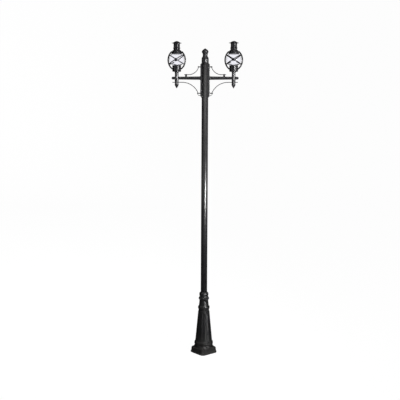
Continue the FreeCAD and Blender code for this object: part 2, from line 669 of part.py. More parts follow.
def build_spine_screws():
    """Cap screws sunk in the spines, three to a side, into the pole's wall."""
    start = d.pole_radius + d.spine_screw_start
    outer = spine_face - d.screw_sink
    screws = []
    for side_index, turn in enumerate((Rotation(), half_turn)):
        for index, height in enumerate(spine_screw_heights()):
            tag = f"{side_index}_{index}"
            sign = 1 if side_index == 0 else -1
            spin = turn * along_x
            shank = cylinder("screw_shank_" + tag, d.spine_screw_radius, outer - start, sign * start, 0.0,
                             height, spin)
            head = cylinder("screw_head_" + tag, d.spine_screw_head - d.screw_head_gap, d.screw_head_height,
                            sign * outer, 0.0, height, spin)
            screws.append(fuse("spine_screw_" + tag, shank, head))
    group("spine_screws", screws)


def build_arm(name, side):
    """Tapered tube from the spine through the stem, with its end knob."""
    body = turned(name + "_tube", [
        (spine_face, d.arm_bore), (spine_face, d.arm_root_radius), (arm_taper_end, d.arm_end_radius),
        (arm_end, d.arm_end_radius), (arm_end, d.arm_bore)], axis="H_Axis")
    place(body, z=d.arm_height)
    slot = cylinder(name + "_wire_slot", d.wire_hole, d.arm_root_radius, d.lantern_reach, 0.0, d.arm_height)
    arm = cut(name, body, slot)
    rise = d.knob_length - d.knob_rim
    crown = (rise * rise + d.knob_radius * d.knob_radius) / (2 * rise)
    knob = turned(name + "_end_turning", [
        (arm_end - d.knob_plug, 0.0), (arm_end - d.knob_plug, d.arm_bore), (arm_end, d.arm_bore),
        (arm_end, d.knob_radius), (arm_end + d.knob_rim, d.knob_radius),
        (arm_end + d.knob_length, 0.0, crown, "left")], axis="H_Axis")
    turn = half_turn if side < 0 else Rotation()
    place(knob, z=d.arm_height, rotation=turn)
    if side < 0:
        arm.Placement = Placement(Vector(), half_turn)
    node(arm, name)
    node(knob, name + "_end")


def brace_path(tip, start, level, bend, angle, way, last):
    """Level run from the tip inward, one arc up or down (way), then a short straight to a last height."""
    tip, start, level, bend, last = (size.value for size in (tip, start, level, bend, last))
    sweep = math.radians(angle.value)
    corner = Vector(start, 0, level)

    def along_arc(part):
        turn = sweep * part
        return corner + Vector(-bend * math.sin(turn), 0, way * bend * (1 - math.cos(turn)))

    end = along_arc(1)
    run = (last - end.z) / (way * math.sin(sweep))
    stop = end + Vector(-math.cos(sweep), 0, way * math.sin(sweep)) * run
    return Part.Wire([Part.LineSegment(Vector(tip, 0, level), corner).toShape(),
                      Part.Arc(corner, along_arc(0.5), end).toShape(), Part.LineSegment(end, stop).toShape()])


def lug_room(rise):
    """The slab of space between the faces of a lug, which a brace's end stops against."""
    half, reach = d.lug_thick.value / 2, d.lantern_reach.value
    return Part.makeBox(reach, reach, 2 * half,
                        Vector(0, -reach / 2, (d.arm_height + rise).value - half))


def build_braces(side_name, side):
    """Upper and lower brace rods, and the clip that ties the upper one to the arm."""
    turn = Placement(Vector(), half_turn) if side < 0 else None
    facts = brace_facts()
    half = d.lug_thick / 2
    high = brace_path(high_brace_tip, facts.high_start, d.arm_height + d.high_brace_rise, facts.high_bend,
                      d.high_brace_angle, 1, d.arm_height + facts.high_lug - half)
    upper = rod(high, d.brace_radius.value).cut(lug_room(facts.high_lug))
    node(own_shape(side_name + "_upper_brace", upper, turn), side_name + "_upper_brace")
    low = brace_path(low_brace_tip, facts.low_start, d.arm_height - d.low_brace_drop, facts.low_bend,
                     d.low_brace_angle, -1, d.arm_height - facts.low_lug + half)
    lower = rod(low, d.brace_radius.value).cut(lug_room(-facts.low_lug))
    node(own_shape(side_name + "_lower_brace", lower, turn), side_name + "_lower_brace")

    name = side_name + "_brace_clip"
    block = box(name + "_block", (clip_near, -d.clip_depth / 2, d.arm_height),
                (clip_near + d.clip_width, d.clip_depth / 2, d.arm_height + d.clip_top))
    arm_room = doc.addObject("Part::Cone", name + "_arm_room")
    bind(arm_room, "Radius1", d.arm_root_radius)
    bind(arm_room, "Radius2", d.arm_end_radius)
    bind(arm_room, "Height", arm_taper_end - spine_face)
    place(arm_room, spine_face, 0.0, d.arm_height, along_x)
    rod_room = cylinder(name + "_rod_room", d.brace_radius, d.clip_width + 2 * d.tool_overrun,
                        clip_near - d.tool_overrun, 0.0, d.arm_height + d.high_brace_rise, along_x)
    clip = cut(name, block, arm_room, rod_room)
    if side < 0:
        clip.Placement = Placement(Vector(), half_turn)
    node(clip, name)


def build_pole_cap():
    """Cap over the pole's top and the acorn finial on it; returns the three screws that hold the cap."""
    bore = d.pole_radius + d.fit_gap
    outer = bore + d.cap_wall
    shoulder = cap_base + d.cap_skirt
    neck = shoulder + d.cap_neck_height
    cap = turned("pole_cap_turning", [
        (bore, cap_base), (outer, cap_base), (outer, shoulder - d.cap_round),
        (outer - d.cap_round, shoulder, d.cap_round, "right"), (d.cap_neck_radius, shoulder + d.cap_slope),
        (d.cap_neck_radius, neck), (0.0, neck), (0.0, pole_top), (bore, pole_top)])
    middle = (cap_base + pole_top) / 2
    holes, screws = [], []
    for index, angle in enumerate((30, 150, 270)):
        way = math.radians(angle)
        turn = Rotation(Vector(0, 0, 1), angle) * along_x
        x, y = d.pole_radius * math.cos(way), d.pole_radius * math.sin(way)
        length = outer - d.pole_radius
        holes.append(cylinder(f"cap_screw_hole_{index}", d.cap_screw_radius, length + d.tool_overrun, x, y,
                              middle, turn))
        screws.append(cylinder(f"cap_screw_{index}", d.cap_screw_radius, length, x, y, middle, turn))
    node(cut("pole_cap", cap, *holes), "pole_cap")
    node(turned("finial", [
        (0.0, neck), (d.finial_low_radius, neck), (d.finial_low_radius, neck + d.finial_foot),
        (d.finial_radius, neck + d.finial_bulge, d.finial_belly_arc, "right"),
        (d.finial_neck_radius, neck + d.finial_neck, d.finial_crown_arc, "right"),
        (0.0, neck + d.finial_height)]), "finial")
    return screws


# ---------------------------------------------------------------- lanterns
def lantern_place(thing, side, rise=0.0):
    """Puts a piece drawn about the lantern's upright axis on its arm; heights start at the arm's axis."""
    return place(thing, side * d.lantern_reach, 0.0, d.arm_height + rise)


def lantern_turned(label, side, points):
    return lantern_place(turned(label, points), side)


def build_stem(name, side):
    """Stem that the arm passes through, and the pendant screwed into it from below."""
    stem = lantern_turned(name + "_stem_tube", side, [
        (d.stem_bore, -d.stem_base), (d.stem_radius, -d.stem_base), (d.stem_radius, d.drum_rise - d.stem_cone),
        (d.stem_cone_radius, d.drum_rise - d.stem_rim), (d.stem_cone_radius, d.drum_rise),
        (d.stem_bore, d.drum_rise)])
    width = 2 * d.stem_radius + d.tool_overrun
    arm_room = cylinder(name + "_arm_room", d.arm_end_radius, width, side * d.lantern_reach - width / 2, 0.0,
                        d.arm_height, along_x)
    node(cut(name + "_stem", stem, arm_room), name + "_stem")
    pendant = lantern_turned(name + "_pendant_turning", side, [
        (0.0, -d.pendant_tip), (d.pendant_radius, -d.pendant_cone), (d.pendant_radius, -d.stem_base),
        (0.0, -d.stem_base)])
    rod_room = cylinder(name + "_rod_room", d.brace_radius, width, side * d.lantern_reach - width / 2, 0.0,
                        d.arm_height - d.low_brace_drop, along_x)
    node(cut(name + "_pendant", pendant, rod_room), name + "_pendant")


def build_drum(name, side):
    """Cup-shaped drum and the gallery ring over it; returns the seal that the globe stands on."""
    base, top = d.drum_rise, d.drum_rise + d.drum_height
    rim = top - d.gallery_thick
    inside = d.drum_radius - d.drum_wall
    node(lantern_turned(name + "_drum", side, [
        (d.drum_wire_hole, base), (d.drum_radius, base), (d.drum_radius, rim), (inside, rim),
        (inside, base + d.drum_wall), (d.drum_wire_hole, base + d.drum_wall)]), name + "_drum")
    node(lantern_turned(name + "_gallery", side, [
        (d.gallery_mouth, rim), (d.drum_radius, rim), (d.drum_radius, top), (d.gallery_mouth, top)]),
        name + "_gallery")
    return lantern_turned(name + "_globe_seal", side, [
        (d.seal_bore, top), (d.seal_radius, top), (d.seal_radius, top + d.seal_height),
        (d.seal_bore, top + d.seal_height)])


def build_lamp(name, side):
    """Lampholder on the drum's floor, and the lamp's cap and glass bulb in it."""
    base = d.drum_rise + d.drum_wall
    top = base + d.holder_height
    floor = top - d.holder_socket
    socket = d.lamp_cap_radius + d.fit_gap
    node(lantern_turned(name + "_lampholder", side, [
        (d.holder_wire_hole, base), (d.holder_radius, base), (d.holder_radius, top), (socket, top),
        (socket, floor), (d.holder_wire_hole, floor)]), name + "_lampholder")
    node(lantern_turned(name + "_lamp_cap", side, [
        (0.0, floor), (d.lamp_tip_radius, floor), (d.lamp_cap_radius, floor + d.lamp_tip_height),
        (d.lamp_cap_radius, floor + d.lamp_cap_height), (0.0, floor + d.lamp_cap_height)]),
        name + "_lamp_cap")
    glass = floor + d.lamp_cap_height
    wall = d.lamp_glass_wall
    bulb = glass + d.lamp_height - d.lamp_radius
    node(lantern_turned(name + "_lamp_glass", side, [
        (0.0, glass), (d.lamp_cap_radius, glass), (d.lamp_radius, bulb),
        (0.0, bulb + d.lamp_radius, d.lamp_radius, "right"), (0.0, bulb + d.lamp_radius - wall),
        (d.lamp_radius - wall, bulb, d.lamp_radius - wall, "left"), (d.lamp_cap_radius - wall, glass + wall),
        (0.0, glass + wall)]), name + "_lamp_glass")


def build_globe(name, side):
    """Clear globe: a ball-shaped belly, with a cone down to the foot and one up to the wider mouth."""
    top = globe_base + d.globe_height - d.fit_gap
    middle = globe_base + d.globe_height / 2
    wall, reach, half = d.globe_wall, d.globe_belly_end, d.globe_belly_half
    share = 1 - wall / globe_belly
    inner, inner_reach, inner_half = globe_belly - wall, reach * share, half * share
    node(lantern_turned(name + "_globe", side, [
        (d.globe_foot_radius - wall, globe_base), (d.globe_foot_radius, globe_base),
        (reach, middle - half), (reach, middle + half, globe_belly, "right"), (d.globe_mouth_radius, top),
        (d.globe_mouth_radius - wall, top), (inner_reach, middle + inner_half),
        (inner_reach, middle - inner_half, inner, "left")]), name + "_globe")


def build_cap(name, side):
    """Cap that holds the globe down; its crown is open under the chimney."""
    base, top = lantern_cap_base, lantern_cap_top
    wall, outer = d.lantern_cap_wall, d.lantern_cap_radius
    opening = d.chimney_radius - d.chimney_wall
    node(lantern_turned(name + "_cap", side, [
        (d.lantern_cap_mouth, base), (outer, base), (outer, top - d.lantern_cap_round),
        (outer - d.lantern_cap_round, top, d.lantern_cap_round, "right"), (opening, top), (opening, top - wall),
        (outer - d.lantern_cap_round, top - wall),
        (outer - wall, top - d.lantern_cap_round, d.lantern_cap_round - wall, "left"),
        (outer - wall, base + wall), (d.lantern_cap_mouth, base + wall)]), name + "_cap")


def build_chimney(name, side):
    """Chimney with a bead round it and a spigot in the cap's opening, and the hat on its top."""
    bore = d.chimney_radius - 2 * d.chimney_wall
    spigot = d.chimney_radius - d.chimney_wall - d.fit_gap
    bead = lantern_cap_top + d.bead_rise
    dome = d.hat_height - d.hat_crown_rise
    crown = (dome * dome + d.hat_crown_radius * d.hat_crown_radius) / (2 * dome)
    node(lantern_turned(name + "_chimney", side, [
        (bore, lantern_cap_top - d.spigot_height), (spigot, lantern_cap_top - d.spigot_height),
        (spigot, lantern_cap_top), (d.chimney_radius, lantern_cap_top), (d.chimney_radius, bead),
        (d.chimney_radius, bead + d.bead_height, d.bead_bulge, "right"), (d.chimney_radius, chimney_top),
        (bore, chimney_top)]), name + "_chimney")
    node(lantern_turned(name + "_hat", side, [
        (0.0, chimney_top), (d.hat_radius, chimney_top), (d.hat_radius, chimney_top + d.hat_rim),
        (d.hat_crown_radius, chimney_top + d.hat_crown_rise),
        (0.0, chimney_top + d.hat_height, crown, "right")]), name + "_hat")


def hoop_shape():
    """Two side tubes on an oval, each from the drum's wall to the cap's, heights from the arm's axis."""
    wide, tall = d.hoop_half_width.value, d.hoop_half_height.value
    middle = Vector(0, 0, d.hoop_centre.value)
    first = math.asin((d.lantern_cap_radius - d.hoop_inset).value / wide)
    last = math.pi - math.asin((d.drum_radius - d.hoop_inset).value / wide)
    oval = Part.Ellipse(middle + Vector(0, 0, tall), middle + Vector(wide, 0, 0), middle)
    path = Part.Wire([Part.ArcOfEllipse(oval, first, last).toShape()])
    tube = rod(path, d.hoop_radius.value)
    drum = Part.makeCylinder(d.drum_radius.value, d.drum_height.value, Vector(0, 0, d.drum_rise.value))
    cap = Part.makeCylinder(d.lantern_cap_radius.value, 2 * d.lantern_cap_height.value,
                            Vector(0, 0, lantern_cap_base.value))
    right = tube.cut(drum).cut(cap)
    left = right.copy()
    left.rotate(Vector(), Vector(0, 0, 1), 180)
    return Part.makeCompound([right, left])


def guard_shape(hoop):
    """Two bars that cross in front of the globe, from tube to tube, with a boss where they cross."""
    radius = d.guard_radius.value
    centre = (globe_base + d.globe_height / 2).value
    front = (globe_belly + d.guard_stand).value + radius
    half = d.guard_half_height.value
    bars = []
    for way in (1, -1):
        ends = []
        for rise in (half, -half):
            share = (centre + rise - d.hoop_centre.value) / d.hoop_half_height.value
            reach = d.hoop_half_width.value * math.sqrt(1 - share ** 2)
            ends.append(Vector(way * reach * (1 if rise > 0 else -1), -radius, centre + rise))
        path = Part.Wire([Part.Arc(ends[0], Vector(0, -front, centre), ends[1]).toShape()])
        bars.append(rod(path, radius))
    boss = Part.makeCylinder(d.guard_boss.value, d.guard_boss_thick.value,
                             Vector(0, -front - d.guard_boss_thick.value / 2, centre), Vector(0, 1, 0))
    return bars[0].fuse([bars[1], boss]).cut(hoop)


def build_guards(name, side):
    """The hoop's side tubes and the crossed guards before and behind the globe."""
    spot = Vector(side * d.lantern_reach.value, 0, d.arm_height.value)
    hoop = hoop_shape()
    guard = guard_shape(hoop)
    for label, shape, turn in ((name + "_hoop", hoop, Rotation()), (name + "_front_guard", guard, Rotation()),
                               (name + "_rear_guard", guard, half_turn)):
        node(own_shape(label, shape, Placement(spot, turn)), label)


def lantern_wire(name, side):
    """Flex from the fuse unit, through the pole and the arm, to the lampholder."""
    x = side * d.wire_spread.value
    back = (d.pole_radius + d.bracket_stand + d.bracket_thick + d.wire_radius + d.wire_clear).value
    start = (bracket_base + d.fuse_rise + d.fuse_height).value
    turn_in, turn_up = (wire_mouth - d.wire_turn_in).value, (wire_mouth + d.wire_turn_up).value
    arm = d.arm_height.value
    reach = side * d.lantern_reach.value
    socket = d.drum_rise + d.drum_wall + d.holder_height - d.holder_socket
    end = (d.arm_height + socket - d.wire_clear).value
    route = [Vector(x, back, start), Vector(x, back, turn_in), Vector(x, 0, turn_up), Vector(x, 0, arm),
             Vector(reach, 0, arm), Vector(reach, 0, end)]
    return own_shape(name, rod(rounded_path(route, d.wire_bend.value), d.wire_radius.value))


def check_and_write():
    """Stops on any failed object or bad shape, then writes one file for each sub-part."""
    doc.recompute()
    failed = [item.Name for item in doc.Objects if "Invalid" in item.State or "Error" in item.State]
    failed += [thing.Label for thing in nodes if thing.Shape.isNull() or not thing.Shape.isValid()]
    if failed:
        raise RuntimeError("failed: " + ", ".join(failed))
    for thing in nodes:
        thing.Shape.exportStep(f"parts/{thing.Label}.step")
    print(len(nodes), "sub-parts written")


build_plinth()
build_flange_and_pole()
build_base_shaft()
build_door()
build_gear()
build_spine_screws()
group("set_screws", build_collar() + build_pole_cap())
seals, wires = [], []
for side_name, side in (("left", -1), ("right", 1)):
    build_spine(side_name + "_spine", side)
    build_arm(side_name + "_arm", side)
    build_braces(side_name, side)
    build_stem(side_name, side)
    seals.append(build_drum(side_name, side))
    build_lamp(side_name, side)
    build_globe(side_name, side)
    build_cap(side_name, side)
    build_chimney(side_name, side)
    build_guards(side_name, side)
    wires.append(lantern_wire(side_name + "_wire", side))
group("globe_seals", seals)
group("lantern_wires", wires)
check_and_write()
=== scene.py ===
import math

import bmesh
import bpy
import numpy as np
from mathutils import Matrix, Vector


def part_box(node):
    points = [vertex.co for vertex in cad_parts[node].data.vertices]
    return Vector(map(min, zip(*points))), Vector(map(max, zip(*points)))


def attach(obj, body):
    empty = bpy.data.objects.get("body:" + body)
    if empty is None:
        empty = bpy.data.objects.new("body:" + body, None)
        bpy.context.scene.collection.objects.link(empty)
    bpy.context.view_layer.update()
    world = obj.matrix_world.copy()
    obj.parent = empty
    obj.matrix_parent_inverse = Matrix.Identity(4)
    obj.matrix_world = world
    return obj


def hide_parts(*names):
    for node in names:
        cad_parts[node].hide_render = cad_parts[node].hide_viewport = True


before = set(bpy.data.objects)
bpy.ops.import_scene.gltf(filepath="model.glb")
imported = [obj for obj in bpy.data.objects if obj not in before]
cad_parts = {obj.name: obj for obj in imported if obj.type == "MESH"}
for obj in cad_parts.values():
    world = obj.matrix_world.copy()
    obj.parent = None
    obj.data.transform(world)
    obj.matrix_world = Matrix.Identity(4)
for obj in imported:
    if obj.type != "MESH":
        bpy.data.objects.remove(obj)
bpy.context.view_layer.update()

mm = 0.001
sides = {"left": -1, "right": 1}
print("frame loaded:", len(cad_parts), "nodes")


# ---- surfaces

def meshPiece(name, points, faces, body, nodes=(), material=None, slot=None):
    # a finished piece at the origin, riding on its body and standing for the nodes it replaces
    mesh = bpy.data.meshes.new(name)
    mesh.from_pydata(np.asarray(points, float).tolist(), [], [list(face) for face in faces])
    mesh.update()
    mesh.polygons.foreach_set("use_smooth", [True] * len(mesh.polygons))
    piece = bpy.data.objects.new(name, mesh)
    bpy.context.scene.collection.objects.link(piece)
    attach(piece, body)
    if nodes:
        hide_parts(*nodes)
    if material:
        mesh.materials.append(material)
    return piece


def gridFaces(rows, columns, closed=False):
    # quads of a grid that wraps round its columns, and round its rows where it is closed
    row = np.arange(rows if closed else rows - 1)[:, None]
    column = np.arange(columns)[None, :]
    following = (row + 1) % rows
    side = (column + 1) % columns
    quads = np.stack([row * columns + column, row * columns + side,
                      following * columns + side, following * columns + column], axis=-1)
    return quads.reshape(-1, 4).tolist()


def endFaces(rows, columns):
    # one face over each end of a grid of rings
    first = list(range(columns))[::-1]
    last = list(range((rows - 1) * columns, rows * columns))
    return [first, last]


def softProfile(corners, steps=5):
    # the corners (radius, height, bend) with each one rounded by an arc of its own bend radius
    corners = [tuple(corner) + (0.0,) * (3 - len(corner)) for corner in corners]
    spots = np.array([corner[:2] for corner in corners], float)
    rounded = [spots[0][None, :]]
    for index in range(1, len(corners) - 1):
        here, bend = spots[index], corners[index][2]
        wayIn, wayOut = here - spots[index - 1], spots[index + 1] - here
        lengthIn, lengthOut = np.hypot(*wayIn), np.hypot(*wayOut)
        wayIn, wayOut = wayIn / lengthIn, wayOut / lengthOut
        turn = math.acos(np.clip(wayIn @ wayOut, -1, 1))
        if bend <= 0 or turn < 1e-3:
            rounded.append(here[None, :])
            continue
        setback = min(bend * math.tan(turn / 2), 0.49 * lengthIn, 0.49 * lengthOut)
        share = np.linspace(0, 1, steps + 1)[:, None]
        start, end = here - wayIn * setback, here + wayOut * setback
        # a quadratic curve from start to end, pulled towards the corner
        rounded.append((1 - share) ** 2 * start + 2 * share * (1 - share) * here + share ** 2 * end)
    rounded.append(spots[-1][None, :])
    return np.vstack(rounded)


def turned(name, corners, body, centre=(0, 0, 0), along="z", count=72, loop=False, **facts):
    # a profile of radius and height turned about an axis: x = r cos t, y = r sin t, z = height
    profile = softProfile(corners) * mm
    radius, height = profile[:, 0], profile[:, 1]
    angle = np.linspace(0, 2 * math.pi, count, endpoint=False)
    ring = np.stack([np.cos(angle), np.sin(angle)], axis=-1)
    points = np.empty((len(profile), count, 3))
    points[..., :2] = radius[:, None, None] * ring[None]
    points[..., 2] = height[:, None]
    if along == "x":
        points = points[..., [2, 0, 1]]
    if along == "-x":
        points = points[..., [2, 1, 0]] * np.array([-1, 1, 1])
    if along == "y":
        points = points[..., [1, 2, 0]]
    points = points.reshape(-1, 3) + np.array(centre)
    faces = gridFaces(len(profile), count, loop) + ([] if loop else endFaces(len(profile), count))
    piece = meshPiece(name, points, faces, body, **facts)
    return sealPoles(piece)


def sealPoles(piece):
    # merges the rings that have shrunk to a point, and turns the faces outwards
    work = bmesh.new()
    work.from_mesh(piece.data)
    bmesh.ops.remove_doubles(work, verts=work.verts, dist=2e-6)
    bmesh.ops.dissolve_degenerate(work, edges=work.edges, dist=1e-7)
    bmesh.ops.recalc_face_normals(work, faces=work.faces)
    work.to_mesh(piece.data)
    work.free()
    piece.data.polygons.foreach_set("use_smooth", [True] * len(piece.data.polygons))
    return piece


def tube(name, path, radius, acrossway, body, sideCount=16, roundEnds=True, **facts):
    # a round bar: each ring lies square to the path, on the two directions normal to it
    path = np.asarray(path, float)
    tangent = np.gradient(path, axis=0)
    tangent /= np.linalg.norm(tangent, axis=1)[:, None]
    across = np.asarray(acrossway, float)
    across = across[None, :] - (tangent @ across)[:, None] * tangent
    across /= np.linalg.norm(across, axis=1)[:, None]
    upward = np.cross(tangent, across)
    size = np.broadcast_to(radius, len(path)).astype(float).copy()
    if roundEnds:
        # a quarter circle of rings closes each end
        arc = np.linspace(0, math.pi / 2, 6)[1:]
        for end, sign in ((0, -1), (-1, 1)):
            extra = path[end] + sign * tangent[end] * size[end] * np.sin(arc)[:, None]
            shrink = size[end] * np.cos(arc)
            same = [np.repeat(item[end][None], len(arc), 0) for item in (tangent, across, upward)]
            if end == 0:
                path, size = np.vstack([extra[::-1], path]), np.concatenate([shrink[::-1], size])
                tangent, across, upward = (np.vstack([new, old]) for new, old in
                                           zip(same, (tangent, across, upward)))
            else:
                path, size = np.vstack([path, extra]), np.concatenate([size, shrink])
                tangent, across, upward = (np.vstack([old, new]) for new, old in
                                           zip(same, (tangent, across, upward)))
    angle = np.linspace(0, 2 * math.pi, sideCount, endpoint=False)
    points = (path[:, None] + size[:, None, None] * (np.cos(angle)[None, :, None] * across[:, None]
                                                     + np.sin(angle)[None, :, None] * upward[:, None]))
    faces = gridFaces(len(path), sideCount) + endFaces(len(path), sideCount)
    return sealPoles(meshPiece(name, points.reshape(-1, 3), faces, body, **facts))


def block(name, outline, low, high, body, bevel=1.0, **facts):
    # an outline in x and z carried straight through y, with its edges bevelled
    outline = np.asarray(outline, float) * mm
    count = len(outline)
    ends = [np.column_stack([outline, np.full(count, level * mm)]) for level in (low, high)]
    points = np.vstack(ends)[:, [0, 2, 1]]
    faces = gridFaces(2, count) + endFaces(2, count)
    piece = sealPoles(meshPiece(name, points, faces, body, **facts))
    piece.data.polygons.foreach_set("use_smooth", [False] * len(piece.data.polygons))
    soften(piece, bevel)
    return piece


def soften(piece, width, segments=3):
    bevel = piece.modifiers.new("edges", "BEVEL")
    bevel.width = width * mm
    bevel.segments = segments
    bevel.limit_method = "ANGLE"
    bevel.angle_limit = math.radians(32)
    bevel.harden_normals = True


def cadFacts(node):
    # a node's box in millimetres: its low corner, high corner and middle
    low, high = (np.array(corner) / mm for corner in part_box(node))
    return low, high, (low + high) / 2


# ---- shared shader groups

def shaderGroup(name, inputs, outputs):
    tree = bpy.data.node_groups.new(name, "ShaderNodeTree")
    for label, kind, value in inputs:
        socket = tree.interface.new_socket(label, in_out="INPUT", socket_type=kind)
        if value is not None:
            socket.default_value = value
    for label, kind in outputs:
        tree.interface.new_socket(label, in_out="OUTPUT", socket_type=kind)
    return tree, tree.nodes.new("NodeGroupInput"), tree.nodes.new("NodeGroupOutput")


def mathNode(tree, operation, first, second=None, clamp=False):
    node = tree.nodes.new("ShaderNodeMath")
    node.operation = operation
    node.use_clamp = clamp
    for socket, value in zip(node.inputs, (first, second)):
        if value is None:
            continue
        if isinstance(value, (int, float)):
            socket.default_value = value
        else:
            tree.links.new(value, socket)
    return node.outputs[0]


grainSettings = dict(peelDetail=2.0, peelShare=0.35, castDetail=5.0, castRoughness=0.62, cloudScale=6.0,
                     cloudDetail=4.0)


def makePaintGrain(settings):
    # orange-peel waviness and fine speckle of brushed or sprayed enamel on a casting
    tree, given, out = shaderGroup(
        "paintGrain",
        [("Vector", "NodeSocketVector", None), ("Peel Scale", "NodeSocketFloat", 260.0),
         ("Cast Scale", "NodeSocketFloat", 60.0), ("Cast Amount", "NodeSocketFloat", 0.3)],
        [("Height", "NodeSocketFloat"), ("Cloud", "NodeSocketFloat")])
    peel = tree.nodes.new("ShaderNodeTexNoise")
    peel.inputs["Detail"].default_value = settings["peelDetail"]
    cast = tree.nodes.new("ShaderNodeTexNoise")
    cast.inputs["Detail"].default_value = settings["castDetail"]
    cast.inputs["Roughness"].default_value = settings["castRoughness"]
    cloud = tree.nodes.new("ShaderNodeTexNoise")
    cloud.inputs["Scale"].default_value = settings["cloudScale"]
    cloud.inputs["Detail"].default_value = settings["cloudDetail"]
    for texture in (peel, cast, cloud):
        tree.links.new(given.outputs["Vector"], texture.inputs["Vector"])
    tree.links.new(given.outputs["Peel Scale"], peel.inputs["Scale"])
    tree.links.new(given.outputs["Cast Scale"], cast.inputs["Scale"])
    rough = mathNode(tree, "MULTIPLY", cast.outputs["Fac"], given.outputs["Cast Amount"])
    fine = mathNode(tree, "MULTIPLY", peel.outputs["Fac"], settings["peelShare"])
    tree.links.new(mathNode(tree, "ADD", fine, rough), out.inputs["Height"])
    tree.links.new(cloud.outputs["Fac"], out.inputs["Cloud"])
    return tree


dustSettings = dict(patchScale=22.0, patchDetail=6.0, patchGain=1.6, upwardFrom=0.25, splashFade=4.0)


def makeDust(settings):
    # a mask of street dust: on faces that look up, in patches, and more of it near the ground
    tree, given, out = shaderGroup(
        "streetDust",
        [("Vector", "NodeSocketVector", None), ("Amount", "NodeSocketFloat", 0.3),
         ("Splash", "NodeSocketFloat", 0.25)],
        [("Mask", "NodeSocketFloat")])
    geometry = tree.nodes.new("ShaderNodeNewGeometry")
    normal = tree.nodes.new("ShaderNodeSeparateXYZ")
    tree.links.new(geometry.outputs["Normal"], normal.inputs[0])
    place = tree.nodes.new("ShaderNodeSeparateXYZ")
    tree.links.new(given.outputs["Vector"], place.inputs[0])
    patches = tree.nodes.new("ShaderNodeTexNoise")
    patches.inputs["Scale"].default_value = settings["patchScale"]
    patches.inputs["Detail"].default_value = settings["patchDetail"]
    tree.links.new(given.outputs["Vector"], patches.inputs["Vector"])
    upward = mathNode(tree, "SUBTRACT", normal.outputs["Z"], settings["upwardFrom"], clamp=True)
    facing = mathNode(tree, "MULTIPLY", upward, given.outputs["Amount"])
    height = mathNode(tree, "MULTIPLY", place.outputs["Z"], settings["splashFade"])
    lowness = mathNode(tree, "SUBTRACT", 1.0, height, clamp=True)
    splash = mathNode(tree, "MULTIPLY", lowness, given.outputs["Splash"])
    patchiness = mathNode(tree, "MULTIPLY", patches.outputs["Fac"], settings["patchGain"])
    mask = mathNode(tree, "MULTIPLY", mathNode(tree, "ADD", facing, splash), patchiness, clamp=True)
    tree.links.new(mask, out.inputs["Mask"])
    return tree


paintGrain = makePaintGrain(grainSettings)
streetDust = makeDust(dustSettings)


# ---- materials

def newMaterial(name):
    material = bpy.data.materials.new(name)
    material.use_nodes = True
    tree = material.node_tree
    shader = next(node for node in tree.nodes if node.type == "BSDF_PRINCIPLED")
    coordinates = tree.nodes.new("ShaderNodeTexCoord")
    return material, tree, shader, coordinates.outputs["Object"]


def groupNode(tree, group, vector, **values):
    node = tree.nodes.new("ShaderNodeGroup")
    node.node_tree = group
    tree.links.new(vector, node.inputs["Vector"])
    for label, value in values.items():
        node.inputs[label.replace("_", " ")].default_value = value
    return node


def mixColours(tree, factor, first, second):
    node = tree.nodes.new("ShaderNodeMix")
    node.data_type = "RGBA"
    colours = [socket for socket in node.inputs if socket.type == "RGBA"]
    tree.links.new(factor, node.inputs[0])
    for socket, value in zip(colours, (first, second)):
        if isinstance(value, tuple):
            socket.default_value = value + (1.0,)
        else:
            tree.links.new(value, socket)
    return next(socket for socket in node.outputs if socket.type == "RGBA")


def remap(tree, value, low, high):
    node = tree.nodes.new("ShaderNodeMapRange")
    tree.links.new(value, node.inputs["Value"])
    node.inputs["To Min"].default_value = low
    node.inputs["To Max"].default_value = high
    return node.outputs["Result"]


def addBump(tree, shader, height, strength, distance):
    bump = tree.nodes.new("ShaderNodeBump")
    bump.inputs["Strength"].default_value = strength
    bump.inputs["Distance"].default_value = distance
    tree.links.new(height, bump.inputs["Height"])
    tree.links.new(bump.outputs["Normal"], shader.inputs["Normal"])


def blackPaint(name, settings):
    # black street enamel: cloudy gloss, orange peel, cast roughness beneath and a little dust
    material, tree, shader, vector = newMaterial(name)
    grain = groupNode(tree, paintGrain, vector, Peel_Scale=settings["peelScale"],
                      Cast_Scale=settings["castScale"], Cast_Amount=settings["castAmount"])
    dust = groupNode(tree, streetDust, vector, Amount=settings["dust"], Splash=settings["splash"])
    enamel = mixColours(tree, grain.outputs["Cloud"], settings["dark"], settings["light"])
    tree.links.new(mixColours(tree, dust.outputs["Mask"], enamel, settings["dustColour"]),
                   shader.inputs["Base Color"])
    gloss = remap(tree, grain.outputs["Cloud"], settings["glossy"], settings["dull"])
    dulling = mathNode(tree, "MULTIPLY", dust.outputs["Mask"], settings["dustDulling"])
    tree.links.new(mathNode(tree, "ADD", gloss, dulling, clamp=True), shader.inputs["Roughness"])
    shader.inputs["Specular IOR Level"].default_value = settings["specular"]
    addBump(tree, shader, grain.outputs["Height"], settings["bump"], settings["depth"])
    return material


def plainFinish(name, settings):
    # moulded plastic, rubber or bare metal: a cloudy colour with its own fine grain
    material, tree, shader, vector = newMaterial(name)
    grain = groupNode(tree, paintGrain, vector, Peel_Scale=settings["grain"], Cast_Amount=0.2)
    tree.links.new(mixColours(tree, grain.outputs["Cloud"], settings["dark"], settings["light"]),
                   shader.inputs["Base Color"])
    tree.links.new(remap(tree, grain.outputs["Cloud"], settings["glossy"], settings["dull"]),
                   shader.inputs["Roughness"])
    shader.inputs["Metallic"].default_value = settings.get("metal", 0.0)
    addBump(tree, shader, grain.outputs["Height"], settings.get("bump", 0.2), 0.0004)
    return material


